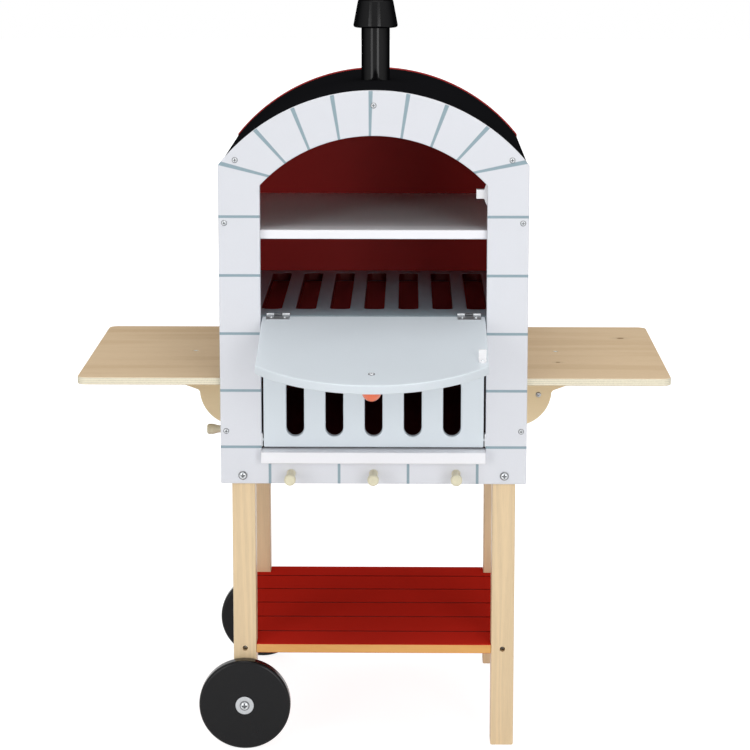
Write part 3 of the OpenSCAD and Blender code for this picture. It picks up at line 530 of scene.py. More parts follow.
def paint_group():
    """Sprayed paint on a board: faint clouds, fine orange peel, paler paint on worn rims."""
    tree, given, out = new_group(
        "Paint film",
        [("Colour", "colour", (0.8, 0.8, 0.8)), ("Rim colour", "colour", (0.9, 0.9, 0.9)),
         ("Clouds", "value", 0.05), ("Wear", "value", 0.4), ("Roughness", "value", 0.4),
         ("Peel", "value", 1.0)], SURFACE)
    place = object_place(tree)
    uneven = minus(tree, noise(tree, place, 9.0, 4.0, 0.55), 0.5)
    fine = minus(tree, noise(tree, place, 420.0, 3.0, 0.6), 0.5)
    brightness = plus(tree, 1.0, times(tree, uneven, given["Clouds"]))
    brightness = plus(tree, brightness, times(tree, fine, times(tree, given["Clouds"], 0.5)))
    tone = add(tree, "ShaderNodeCombineColor")
    for socket in tone.inputs:
        feed(tree, socket, brightness)
    colour = mix_colours(tree, 1.0, given["Colour"], tone.outputs[0], "MULTIPLY")
    patches = span(tree, noise(tree, place, 60.0, 5.0, 0.7), 0.42, 0.66)
    worn = times(tree, times(tree, mask(tree, "rim"), patches), given["Wear"], clamp=True)
    feed(tree, out["Colour"], mix_colours(tree, worn, colour, given["Rim colour"]))
    feed(tree, out["Roughness"],
         plus(tree, given["Roughness"], times(tree, uneven, 0.25), clamp=True))
    peel = times(tree, noise(tree, place, 900.0), given["Peel"])
    feed(tree, out["Height"], minus(tree, peel, times(tree, worn, 0.6)))
    return tree


def wood_group():
    """Wood: year rings as bands of one stretched coordinate, fibres as long thin noise.

    Stretch is less than one along the grain, and Bands says how close the rings lie.
    """
    tree, given, out = new_group(
        "Wood figure",
        [("Colour", "colour", (0.7, 0.55, 0.35)), ("Dark", "colour", (0.5, 0.35, 0.2)),
         ("Stretch", "vector", (1.0, 1.0, 0.06)), ("Bands", "value", 90.0),
         ("Figure", "value", 0.5), ("Roughness", "value", 0.45)], SURFACE)
    grain = vector_node(tree, "MULTIPLY", object_place(tree), given["Stretch"])
    bend = plus(tree, noise(tree, grain, 14.0, 3.0), noise(tree, grain, 3.0, 1.0))
    rings = span(tree, math_node(tree, "SINE", times(tree, bend, given["Bands"])), -1.0, 1.0)
    fibres = noise(tree, grain, 700.0, 4.0, 0.7)
    flecks = span(tree, noise(tree, grain, 1300.0, 2.0, 0.6), 0.6, 0.74)
    broad = minus(tree, noise(tree, grain, 6.0), 0.5)
    dark = times(tree, rings, 0.45)
    for effect, share in ((span(tree, fibres, 0.3, 0.75), 0.4), (flecks, 0.3), (broad, 0.8)):
        dark = plus(tree, dark, times(tree, effect, share))
    amount = times(tree, dark, given["Figure"], clamp=True)
    feed(tree, out["Colour"], mix_colours(tree, amount, given["Colour"], given["Dark"]))
    feed(tree, out["Roughness"],
         plus(tree, given["Roughness"], times(tree, minus(tree, fibres, 0.5), 0.3), clamp=True))
    feed(tree, out["Height"], minus(tree, times(tree, fibres, 0.5), times(tree, flecks, 0.7)))
    return tree


def metal_group():
    """Plating: spangled clouds and fine scratches."""
    tree, given, out = new_group(
        "Plated metal",
        [("Colour", "colour", (0.6, 0.6, 0.6)), ("Roughness", "value", 0.3)], SURFACE)
    place = object_place(tree)
    dull = span(tree, noise(tree, place, 380.0, 4.0, 0.6), 0.35, 0.7)
    scratches = noise(tree, vector_node(tree, "MULTIPLY", place, (1.0, 1.0, 0.1)), 5200.0)
    feed(tree, out["Colour"],
         mix_colours(tree, times(tree, dull, 0.35), given["Colour"], (0.32, 0.33, 0.35)))
    feed(tree, out["Roughness"],
         plus(tree, given["Roughness"], times(tree, minus(tree, scratches, 0.4), 0.3), clamp=True))
    feed(tree, out["Height"], scratches)
    return tree


GROUP_MAKERS = {"Paint film": paint_group, "Wood figure": wood_group,
                "Plated metal": metal_group}


def place_group(tree, name, **values):
    """Places a node group in a material, made the first time it is asked for."""
    group = bpy.data.node_groups.get(name) or GROUP_MAKERS[name]()
    made = add(tree, "ShaderNodeGroup", node_tree=group)
    for key, value in values.items():
        feed(tree, made.inputs[key.replace("_", " ").capitalize()], value)
    return made.outputs


# ---- Materials ----

def new_material(name, **constants):
    """A material, its tree and its Principled shader with constants on the shader's sockets."""
    material = bpy.data.materials.new(name)
    material.use_nodes = True
    tree = material.node_tree
    shader = tree.nodes["Principled BSDF"]
    for key, value in constants.items():
        feed(tree, shader.inputs[key.replace("_", " ")], value)
    return material, tree, shader


def bump(tree, shader, height, distance):
    """Feeds a height into the shader's normal."""
    made = add(tree, "ShaderNodeBump")
    feed(tree, made.inputs["Height"], height)
    made.inputs["Distance"].default_value = distance
    feed(tree, shader.inputs["Normal"], made.outputs["Normal"])


def dress(tree, shader, colour, surface, distance):
    """Gives the shader a colour, and a group's roughness and relief."""
    feed(tree, shader.inputs["Base Color"], colour)
    feed(tree, shader.inputs["Roughness"], surface["Roughness"])
    bump(tree, shader, surface["Height"], distance)


def varnished(tree, shader, weight, start, end, roughness):
    """A clear coat that thins from start to end as the eye looks along the surface."""
    away = add(tree, "ShaderNodeLayerWeight").outputs["Facing"]
    feed(tree, shader.inputs["Coat Weight"], span(tree, away, start, end, weight, 0.0))
    shader.inputs["Coat Roughness"].default_value = roughness


def scaled(colour, factor):
    """A colour times a factor."""
    return tuple(min(1.0, c * factor) for c in colour)


def painted(name, key, rim, roughness, clouds=0.05, wear=0.35, peel=1.0, coat=0.0, specular=0.5):
    """Plain paint, rim times as pale where it is worn."""
    colour = getattr(colours(), key)
    material, tree, shader = new_material(name, Coat_Weight=coat, Coat_Roughness=0.1,
                                          Specular_IOR_Level=specular)
    film = place_group(tree, "Paint film", colour=tuple(colour), rim_colour=scaled(colour, rim),
                       clouds=clouds, wear=wear, roughness=roughness, peel=peel)
    dress(tree, shader, film["Colour"], film, 0.00006)
    return material


def black_gloss(name, shade, rim, roughness, wear, varnish, distance):
    """Black paint under a clear coat that thins where the eye only grazes it."""
    black = colours().black
    material, tree, shader = new_material(name, Specular_IOR_Level=0.0)
    film = place_group(tree, "Paint film", colour=scaled(black, shade),
                       rim_colour=scaled(black, rim), clouds=0.3, wear=wear, roughness=roughness,
                       peel=0.4)
    varnished(tree, shader, *varnish)
    dress(tree, shader, film["Colour"], film, distance)
    return material


def wooden(name, key, dark, stretch, bands, figure, roughness, coat=0.0):
    """A board of bare or lacquered wood."""
    colour = getattr(colours(), key)
    material, tree, shader = new_material(name, Coat_Weight=coat, Coat_Roughness=0.25)
    wood = place_group(tree, "Wood figure", colour=tuple(colour), dark=scaled(colour, dark),
                       stretch=stretch, bands=bands, figure=figure, roughness=roughness)
    dress(tree, shader, wood["Colour"], wood, 0.00008)
    return material


def metal(name, key, share=1.0, roughness=0.3):
    """Plated metal, darkened where the rim mask says so: painted shade in a screw head's recess
    and a painted dark reflection round its rim.
    """
    colour = scaled(getattr(colours(), key), share)
    material, tree, shader = new_material(name, Metallic=0.92)
    plated = place_group(tree, "Plated metal", colour=colour, roughness=roughness)
    # Painted shade from the rim mask: dark in screws' recesses and round their heads' rims
    head_shade = times(tree, mask(tree, "rim"), 0.8)
    shaded_metal = mix_colours(tree, head_shade, plated["Colour"], scaled(colour, 0.12))
    dress(tree, shader, shaded_metal, plated, 0.00002)
    return material


# The front panel's printed lines, in millimetres from its lower edge or its middle and in
# degrees from its top, each pair of angles for a line's outer and inner end
LINE_HEIGHTS = (348.5, 272.8, 197.4, 123.0, 48.8)
RAIL_LINES = (-133.9, -44.6, 44.6, 133.9)
ARCH_LINES = ((-50.0, -42.7), (-36.2, -34.6), (-23.9, -24.4), (-12.0, -12.7), (-0.85, -1.3),
              (10.0, 10.3), (21.5, 21.7), (34.7, 32.6), (49.3, 40.6))
# Widths of an arch line's outer and inner end, how far short of the panel's edge and of the
# opening they stop, and half the width over which any line's edge fades
ARCH_LINE_WIDTHS = (5.2, 3.2)
ARCH_LINE_STOPS = (3, 2)
LINE_SOFTNESS = 0.35
# How far below the sill the rail's lines start, and the arch's lines' lowest place, as a share
# of the arch's rise below its crown
SILL_SHADE = 4
ARCH_SHARE = 1.45


def strip_mask(tree, coordinate, centre, half_width):
    """1 within half_width of a coordinate's centre, with a soft edge."""
    away = math_node(tree, "ABSOLUTE", minus(tree, coordinate, centre))
    return span(tree, away, half_width + LINE_SOFTNESS * MM, half_width - LINE_SOFTNESS * MM)


def joint_mask(tree, place, inner, outer, widths):
    """A line from an inner to an outer point in x and z, its width changing on the way."""
    step = outer - inner
    length = np.linalg.norm(step)
    along, across = step / length, np.array([-step[1], step[0]]) / length
    offset = vector_node(tree, "SUBTRACT", place, (inner[0], 0.0, inner[1]))
    s = vector_node(tree, "DOT_PRODUCT", offset, (along[0], 0.0, along[1]))
    away = math_node(tree, "ABSOLUTE",
                     vector_node(tree, "DOT_PRODUCT", offset, (across[0], 0.0, across[1])))
    half = span(tree, s, 0.0, length, widths[1] / 2 * MM, widths[0] / 2 * MM, smooth=False)
    return span(tree, minus(tree, half, away), -LINE_SOFTNESS * MM, LINE_SOFTNESS * MM)


def printed_lines(tree):
    """1 on the printed joints of the front panel: on its columns, its rail and its arch."""
    s, place, (x, _, z) = sizes(), object_place(tree), object_axes(tree)
    low, high = box("front_panel")
    centre, radius = arch()
    half_opening = (high[0] - low[0]) / 2 - s.column
    on_column = math_node(tree, "GREATER_THAN", math_node(tree, "ABSOLUTE", x),
                          half_opening - 2 * MM)
    on_rail = math_node(tree, "LESS_THAN", z, box("sill_board")[0][2] - SILL_SHADE * MM)
    on_arch = math_node(tree, "GREATER_THAN", z, high[2] - ARCH_SHARE * s.arch_rise)
    masks = [times(tree, on_column, strip_mask(tree, z, low[2] + h * MM, s.line_width / 2))
             for h in LINE_HEIGHTS]
    masks += [times(tree, on_rail, strip_mask(tree, x, h * MM, s.line_width / 2))
              for h in RAIL_LINES]
    outer_r = radius - ARCH_LINE_STOPS[0] * MM
    inner_r = radius - s.arch_band + ARCH_LINE_STOPS[1] * MM
    for outer, inner in np.radians(ARCH_LINES):
        ends = [np.array([math.sin(a) * r, centre + math.cos(a) * r])
                for a, r in ((inner, inner_r), (outer, outer_r))]
        masks.append(times(tree, on_arch, joint_mask(tree, place, *ends, ARCH_LINE_WIDTHS)))
    lines = masks[0]
    for one in masks[1:]:
        lines = math_node(tree, "MAXIMUM", lines, one)
    speckle = span(tree, noise(tree, place, 1500.0), 0.2, 0.5, 0.86, 1.0)
    flat = math_node(tree, "LESS_THAN", mask(tree, "side"), 0.9)
    return times(tree, times(tree, lines, speckle), flat)


def front_paint(name):
    """Paint of the front panel, with its printed brick joints."""
    c = colours()
    material, tree, shader = new_material(name)
    film = place_group(tree, "Paint film", colour=tuple(c.panel), rim_colour=scaled(c.panel, 1.12),
                       clouds=0.05, wear=0.5, roughness=0.38, peel=1.0)
    lines = printed_lines(tree)
    feed(tree, shader.inputs["Base Color"],
         mix_colours(tree, lines, film["Colour"], tuple(c.printed_line)))
    feed(tree, shader.inputs["Roughness"], plus(tree, film["Roughness"], times(tree, lines, 0.12)))
    bump(tree, shader, minus(tree, film["Height"], times(tree, lines, 1.2)), 0.00006)
    return material


# The heights over the oven's floor between which the painted shade under the grate fades out, in
# millimetres
PAINTED_SHADE_ENDS = (70, 125)


def painted_shade_below_grate(tree, colour):
    """A colour darkened towards the oven's floor, under the grate, as painted shade, but not
    outside it.
    """
    _, y, z = object_axes(tree)
    start, end = box("floor_board")[1][2] + np.array(PAINTED_SHADE_ENDS) * MM
    outside = math_node(tree, "GREATER_THAN", y, box("back_panel")[0][1] + 3 * MM)
    unshaded = math_node(tree, "MAXIMUM", outside, span(tree, z, start, end))
    # Painted shade: towards the floor the colour turns to a dark copy of the chamber's red
    return mix_colours(tree, unshaded, scaled(colours().chamber, 0.12), colour)


def chamber_paint(name):
    """Red paint inside the oven, with painted shade at the bottom under the grate, and darker on
    the boards' edges.
    """
    red = colours().chamber
    material, tree, shader = new_material(name, Specular_IOR_Level=0.12)
    film = place_group(tree, "Paint film", colour=tuple(red), rim_colour=scaled(red, 1.4),
                       clouds=0.14, wear=0.35, roughness=0.5)
    shaded = mix_colours(tree, times(tree, mask(tree, "side"), 0.6),
                         painted_shade_below_grate(tree, film["Colour"]), scaled(red, 0.2))
    dress(tree, shader, shaded, film, 0.00006)
    return material


def wall_paint(name):
    """White outside the oven and red inside it, parted in the middle of the wall's thickness."""
    c = colours()
    material, tree, shader = new_material(name, Specular_IOR_Level=0.3)
    low, high = box("right_wall")
    inside = math_node(tree, "LESS_THAN", math_node(tree, "ABSOLUTE", object_axes(tree)[0]),
                       (low[0] + high[0]) / 2)
    # Inside, the red carries the painted shade under the grate
    colour = mix_colours(tree, inside, tuple(c.panel), painted_shade_below_grate(tree, tuple(c.chamber)))
    film = place_group(tree, "Paint film", colour=colour, rim_colour=scaled(c.panel, 1.1),
                       clouds=0.06, wear=0.3, roughness=0.42, peel=1.0)
    dress(tree, shader, film["Colour"], film, 0.00006)
    return material


def grate_paint(name):
    """Grey on the grate's faces and front edge, dark red-brown in its slots."""
    c = colours()
    material, tree, shader = new_material(name, Specular_IOR_Level=0.14)
    film = place_group(tree, "Paint film", colour=tuple(c.grate), rim_colour=scaled(c.grate, 1.3),
                       clouds=0.06, wear=0.1, roughness=0.34, peel=0.2)
    behind_front = math_node(tree, "GREATER_THAN", object_axes(tree)[1],
                             box("grate_board")[0][1] + 10 * MM)
    slots = times(tree, span(tree, mask(tree, "side"), 0.6, 0.85), behind_front)
    dress(tree, shader, mix_colours(tree, slots, film["Colour"], scaled(c.chamber, 0.22)), film,
          0.00002)
    return material


# The lower shelf's grooves in millimetres: their number, the first one's distance from the
# front edge, their pitch, and half the width of the darker line along each groove
GROOVES, FIRST_GROOVE, GROOVE_PITCH, GROOVE_SHADE = 5, 58.6, 66.8, 2.0


def groove_places():
    """Where the lower shelf's grooves lie along y, from front to back."""
    return box("lower_shelf")[0][1] + (FIRST_GROOVE + np.arange(GROOVES) * GROOVE_PITCH) * MM


def shelf_paint(name):
    """Glossy red on the lower shelf's faces, clear lacquer over wood on its edges."""
    red = colours().shelf
    material, tree, shader = new_material(name, Specular_IOR_Level=0.0)
    film = place_group(tree, "Paint film", colour=tuple(red), rim_colour=scaled(red, 1.3),
                       clouds=0.12, wear=0.2, roughness=0.3, peel=0.6)
    wood = place_group(tree, "Wood figure", colour=linear("#E9B069"), dark=linear("#C98A42"),
                       stretch=(0.06, 1.0, 1.0), bands=60.0, figure=0.5)
    varnished(tree, shader, 0.35, 0.3, 0.72, 0.12)
    colour, y = film["Colour"], object_axes(tree)[1]
    for groove in groove_places():
        # A darker line along each groove
        groove_line = times(tree, strip_mask(tree, y, groove, GROOVE_SHADE * MM), 0.75)
        colour = mix_colours(tree, groove_line, colour, scaled(red, 0.1))
    cut = span(tree, mask(tree, "side"), 0.55, 0.8)
    dress(tree, shader, mix_colours(tree, cut, colour, wood["Colour"]), film, 0.00005)
    return material


def knotted(tree, veneer, colour, x, y, size):
    """A colour with one knot in it: a brown core of that size in a paler halo, both ragged."""
    place = object_place(tree)
    offset = vector_node(tree, "SUBTRACT", place, (x, y, 0.0))
    away = vector_node(tree, "LENGTH", vector_node(tree, "MULTIPLY", offset, (0.75, 1.0, 0.0)))
    ragged = plus(tree, away, times(tree, minus(tree, noise(tree, place, 260.0), 0.5), size * 0.5))
    core = span(tree, ragged, size, size * 0.45)
    halo = span(tree, ragged, size * 3.0, size * 0.8)
    colour = mix_colours(tree, times(tree, halo, 0.22), colour, scaled(veneer, 0.55))
    return mix_colours(tree, times(tree, core, 0.8), colour, linear("#7A5530"))


def plywood(name, key, knots=(), figure=0.5):
    """Lacquered plywood: veneer on the faces, layers across the cut edges, and knots."""
    c = colours()
    veneer = getattr(c, key)
    material, tree, shader = new_material(name, Specular_IOR_Level=0.0)
    varnished(tree, shader, 0.3, 0.3, 0.8, 0.3)
    face = place_group(tree, "Wood figure", colour=tuple(veneer),
                       dark=tuple(np.array(veneer) * (0.7, 0.61, 0.5)), stretch=(0.09, 1.0, 1.0),
                       bands=20.0, figure=figure, roughness=0.42)
    colour = face["Colour"]
    for knot in knots:
        colour = knotted(tree, veneer, colour, *knot)
    layer = math_node(tree, "SINE", times(tree, mask(tree, "ply"), 25.0))
    fibre = noise(tree, vector_node(tree, "MULTIPLY", object_place(tree), (1.0, 1.0, 0.4)),
                  900.0, 3.0, 0.7)
    dark = plus(tree, times(tree, span(tree, layer, -0.2, 0.9), 0.5),
                times(tree, span(tree, fibre, 0.35, 0.7), 0.35))
    edge = mix_colours(tree, dark, tuple(c.ply_edge), scaled(c.ply_edge, 0.68))
    cut = span(tree, mask(tree, "side"), 0.75, 0.95)
    dress(tree, shader, mix_colours(tree, cut, colour, edge), face, 0.00008)
    return material


# The right tray's knots: x, y and the core's radius, in metres
RIGHT_TRAY_KNOTS = ((0.341, 0.197, 0.005), (0.2436, 0.021, 0.003))

FINISHES = {
    "Front paint": front_paint,
    "Wall paint": wall_paint,
    "Chamber paint": chamber_paint,
    "Grate paint": grate_paint,
    "Lower shelf paint": shelf_paint,
    "Trim paint": partial(painted, key="trim", rim=1.1, roughness=0.4),
    "Door paint": partial(painted, key="door", rim=1.2, roughness=0.36, wear=0.4),
    "Wheel paint": partial(painted, key="wheel", rim=2.5, roughness=0.2, clouds=0.3, wear=0.5,
                           specular=0.2),
    "Knob paint": partial(painted, key="knob", rim=1.2, roughness=0.32, clouds=0.08, coat=0.5),
    "Plastic": partial(painted, key="plastic", rim=1.1, roughness=0.38, clouds=0.03, wear=0.0,
                       peel=0.5),
    "Roof paint": partial(black_gloss, shade=1.0, rim=3.0, roughness=0.34, wear=0.2,
                          varnish=(0.3, 0.3, 0.8, 0.2), distance=0.00004),
    "Chimney paint": partial(black_gloss, shade=0.6, rim=2.0, roughness=0.3, wear=0.25,
                             varnish=(0.34, 0.02, 0.5, 0.09), distance=0.00003),
    "Leg wood": partial(wooden, key="beech", dark=0.62, stretch=(1.0, 1.0, 0.05), bands=90.0,
                        figure=0.42, roughness=0.42, coat=0.2),
    "Batten wood": partial(wooden, key="beech", dark=0.6, stretch=(1.0, 0.05, 1.0), bands=70.0,
                           figure=0.5, roughness=0.5),
    "Peg wood": partial(wooden, key="bare_wood", dark=0.66, stretch=(1.0, 0.08, 1.0), bands=60.0,
                        figure=0.45, roughness=0.55),
    "Left tray plywood": partial(plywood, key="plywood"),
    "Right tray plywood": partial(plywood, key="plywood", knots=RIGHT_TRAY_KNOTS),
    # Paler colour and fainter figure than the trays: painted light on the shaded brackets
    "Bracket plywood": partial(plywood, key="bracket", figure=0.15),
    "Zinc": partial(metal, key="zinc"),
    "Dull zinc": partial(metal, key="zinc", share=0.72, roughness=0.36),
    "Hinge metal": partial(metal, key="hinge", roughness=0.4),
}


def material_of(name):
    """A finish of the oven by name, made the first time it is asked for."""
    return bpy.data.materials.get(name) or FINISHES[name](name)


# ---- Boards of the body ----

def arch():
    """Height of the arch's centre and its radius: (half width^2 + rise^2) / (2 rise)."""
    low, high = box("front_panel")
    rise, half = sizes().arch_rise, (high[0] - low[0]) / 2
    radius = (half ** 2 + rise ** 2) / (2 * rise)
    return high[2] - radius, radius


def flat_board(node, edge, holes=()):
    """A horizontal board that fills a node's box."""
    low, high = box(node)
    return board(rectangle(low[:2], high[:2]), high[2] - low[2], edge, holes).moved(
        FLAT, (0, 0, low[2]))


class TOYOVEN_OT_body(bpy.types.Operator):
    """Builds the front and back panels, the side walls and the sill."""

    bl_idname = "toy_oven.body"
    bl_label = "Body"

    def execute(self, context):
        s = sizes()
        low, high = box("front_panel")
        centre, radius = arch()
        half = (high[0] - low[0]) / 2
        sill = box("sill_board")
        opening = arched(half - s.column, sill[0][2], centre, radius - s.arch_band,
                         PANEL_CORNER / 2)
        outline = arched(half, low[2], centre, radius, PANEL_CORNER)
        front = board(outline, high[1] - low[1], s.board_edge, [opening])
        make_piece("front_board", front.moved(UPRIGHT, (0, low[1], 0)), "Front paint",
                   "front_panel")
        low, high = box("back_panel")
        back = board(outline, high[1] - low[1], s.board_edge)
        make_piece("back_board", back.moved(UPRIGHT, (0, low[1], 0)), "Chamber paint",
                   "back_panel")
        make_piece("sill", bar(*sill, s.board_edge, "x"), "Trim paint", "sill_board")
        for side in ("left", "right"):
            make_piece(side + "_side", bar(*box(side + "_wall"), s.board_edge, "x"), "Wall paint",
                       side + "_wall")
        return {"FINISHED"}


class TOYOVEN_OT_boards(bpy.types.Operator):
    """Builds the upper shelf, the slotted grate and the floor of the oven."""

    bl_idname = "toy_oven.boards"
    bl_label = "Shelves and grate"

    slots: bpy.props.IntProperty(name="Slots", description="Slots in the grate", default=7)
    pitch: length_property("Pitch", "Distance between the slots", 44.7)
    width: length_property("Width", "Width of a slot", 26)
    front_rim: length_property("Front rim", "From the grate's front to its slots", 50)
    back_rim: length_property("Back rim", "From the slots to the grate's back", 23)
    slot_corner: length_property("Slot corner", "Radius of the slots' corners", 8)

    def execute(self, context):
        s = sizes()
        make_piece("top_shelf", flat_board("upper_shelf", s.board_edge), "Trim paint",
                   "upper_shelf")
        make_piece("oven_floor", flat_board("floor_board", s.board_edge), "Chamber paint",
                   "floor_board")
        low, high = box("grate_board")
        middles = (np.arange(self.slots) - (self.slots - 1) / 2) * self.pitch
        holes = [rectangle((x - self.width / 2, low[1] + self.front_rim),
                           (x + self.width / 2, high[1] - self.back_rim), self.slot_corner)
                 for x in middles]
        make_piece("grate", flat_board("grate_board", s.board_edge, holes=holes), "Grate paint",
                   "grate_board")
        return {"FINISHED"}


# How far the chimney post's mesh reaches into its cap, as a share of the post's radius
SEAT_SHARE = 0.02


class TOYOVEN_OT_roof(bpy.types.Operator):
    """Builds the bent roof sheet, the battens under it and the chimney."""

    bl_idname = "toy_oven.roof"
    bl_label = "Roof and chimney"

    sheet_edge: length_property("Sheet edge", "Radius of the roof sheet's edges", 0.3)
    cap_top: length_property("Cap top", "Radius of the chimney cap's top", 23.2)
    cap_edge: length_property("Cap edge", "Radius of the chimney cap's edges", 3)

    def execute(self, context):
        s = sizes()
        centre, radius = arch()
        low, high = box("roof_sheet")
        outer = radius - s.overhang
        reach = math.degrees(math.asin(high[0] / outer))
        inner_reach = math.degrees(math.acos((low[2] - centre) / (outer - s.roof_sheet)))
        section = np.concatenate([
            arc((0, centre), outer, 90 - reach, 90 + reach, 161),
            arc((0, centre), outer - s.roof_sheet, 90 + inner_reach, 90 - inner_reach, 161)])
        sheet = board(section, high[1] - low[1], self.sheet_edge, rings=1)
        make_piece("roof", sheet.moved(UPRIGHT, (0, low[1], 0)), "Roof paint", "roof_sheet")
        self.battens(centre)
        self.chimney()
        return {"FINISHED"}

    def battens(self, centre):
        """Square bars along y, each turned about the arch's centre."""
        low, high = box("ridge_batten")
        side = high[0] - low[0]
        for node in ("ridge_batten", "left_roof_batten", "right_roof_batten"):
            here_low, here_high = box(node)
            middle = (here_low + here_high) / 2
            turn = math.atan2(middle[0], middle[2] - centre)
            straight = bar((-side / 2, low[1], -side / 2), (side / 2, high[1], side / 2),
                           sizes().wood_edge, "y")
            c, n = math.cos(turn), math.sin(turn)
            matrix = np.array([[c, 0, n], [0, 1, 0], [-n, 0, c]])
            make_piece(node.replace("batten", "rail"),
                       straight.moved(matrix, (middle[0], 0, middle[2])), "Batten wood", node)

    def chimney(self):
        """The post and the cap, both turned profiles."""
        low, high = box("chimney_post")
        middle = (low + high) / 2
        cap_low, cap_high = box("chimney_cap")
        post_r = (high[0] - low[0]) / 2
        seat = SEAT_SHARE * post_r
        post = [(0, low[2]), (post_r, low[2]), (post_r, cap_low[2] + seat),
                (0, cap_low[2] + seat)]
        make_piece("chimney_pipe", turned(post, 96).moved(FLAT, (middle[0], middle[1], 0)),
                   "Chimney paint", "chimney_post")
        wide, top, tall = (cap_high[0] - cap_low[0]) / 2, self.cap_top, cap_high[2] - cap_low[2]
        corners = [(0, 0), (wide, 0), (top, tall), (0, tall)]
        profile = filleted(corners, [0, self.cap_edge, self.cap_edge, 0], 8)
        make_piece("chimney_top",
                   turned(profile, 96).moved(FLAT, (middle[0], middle[1], cap_low[2])),
                   "Chimney paint", "chimney_cap")


# ---- Doors ----

def joint_of(name):
    """A joint of the frame by name."""
    return next(j for j in frame["record"]["behaviour"]["joints"] if j["name"] == name)


def opened(shape):
    """A shape of the closed upper door, swung about the hinge line to where the door rests."""
    joint = joint_of("upper_door_hinge")
    pivot = np.array(joint["pos_m"])
    swing = math.radians(joint["range_deg"][1])
    c, n = math.cos(swing), math.sin(swing)
    matrix = np.array([[1, 0, 0], [0, c, -n], [0, n, c]])
    return shape.moved(matrix, pivot - matrix @ pivot)


def ball(diameter, flat):
    """A ball knob that points along z, its foot cut flat at z = 0."""
    r = diameter / 2
    start = math.asin((flat - r) / r)
    t = np.linspace(start, math.pi / 2, 40)
    profile = np.stack([r * np.cos(t), r * np.sin(t) + r - flat], 1)
    return turned(np.concatenate([[(0, 0)], profile]), 64)


def slot_outline(x, bottom, width, length):
    """A slot with full round ends, counter-clockwise."""
    r = width / 2
    return np.concatenate([arc((x, bottom + r), r, 180, 360, 17),
                           arc((x, bottom + length - r), r, 0, 180, 17)])


class TOYOVEN_OT_upper_door(bpy.types.Operator):
    """Builds the arched door, open, with its knob."""

    bl_idname = "toy_oven.upper_door"
    bl_label = "Upper door"

    hinge_offset: length_property("Hinge offset", "From the inner face to the hinge line", 1.8)
    heel: length_property("Heel", "From the hinge line to the door's lower edge", 1.5)
    knob_drop: length_property("Knob drop", "From the door's top to the knob", 35.8)
    edge: length_property("Edge", "Radius of the door's edges", 1.8)
    knob_d: length_property("Knob", "Diameter of the ball knob", 24)
    knob_flat: length_property("Knob foot", "Depth of the knob's flat foot", 1)

    def execute(self, context):
        s = sizes()
        low, high = box("front_panel")
        centre, radius = arch()
        half = (high[0] - low[0]) / 2 - s.column - s.door_gap
        pivot = np.array(joint_of("upper_door_hinge")["pos_m"])
        face = pivot[1] - self.hinge_offset - s.door_board
        outline = arched(half, pivot[2] + self.heel, centre,
                         radius - s.arch_band - s.door_gap, PANEL_CORNER)
        door = board(outline, s.door_board, self.edge).moved(UPRIGHT, (0, face, 0))
        make_piece("arched_door", opened(door), "Door paint", "upper_door",
                   "upper_door")
        knob = ball(self.knob_d, self.knob_flat)
        top = centre + radius - s.arch_band - s.door_gap
        at = (0, face, top - self.knob_drop)
        make_piece("arched_door_knob", opened(knob.moved(facing((0, -1, 0)), at)), "Knob paint",
                   "upper_knob", "upper_door")
        return {"FINISHED"}


class TOYOVEN_OT_lower_door(bpy.types.Operator):
    """Builds the slotted door, closed, with its knob."""

    bl_idname = "toy_oven.lower_door"
    bl_label = "Lower door"

    slots: bpy.props.IntProperty(name="Slots", description="Slots in the door", default=5)
    pitch: length_property("Pitch", "Distance between the slots", 50.5)
    width: length_property("Width", "Width of a slot", 22.8)
    length: length_property("Length", "Length of a slot", 76)
    margin: length_property("Margin", "From the door's lower edge to the slots", 14.4)
    edge: length_property("Edge", "Radius of the door's edges", 1.8)
    knob_flat: length_property("Knob foot", "Depth of the knob's flat foot", 1)

    def execute(self, context):
        low, high = box("lower_door")
        middles = (np.arange(self.slots) - (self.slots - 1) / 2) * self.pitch
        holes = [slot_outline(x, low[2] + self.margin, self.width, self.length) for x in middles]
        outline = rectangle((low[0], low[2]), (high[0], high[2]), PANEL_CORNER)
        door = board(outline, high[1] - low[1], self.edge, holes)
        make_piece("slotted_door", door.moved(UPRIGHT, (0, low[1], 0)), "Door paint", "lower_door",
                   "lower_door")
        knob_low, knob_high = box("lower_knob")
        middle = (knob_low + knob_high) / 2
        knob = ball(knob_high[0] - knob_low[0], self.knob_flat)
        make_piece("slotted_door_knob",
                   knob.moved(facing((0, -1, 0)), (middle[0], knob_high[1], middle[2])),
                   "Knob paint", "lower_knob", "lower_door")
        return {"FINISHED"}


# ---- Trays, legs, shelf and wheels ----

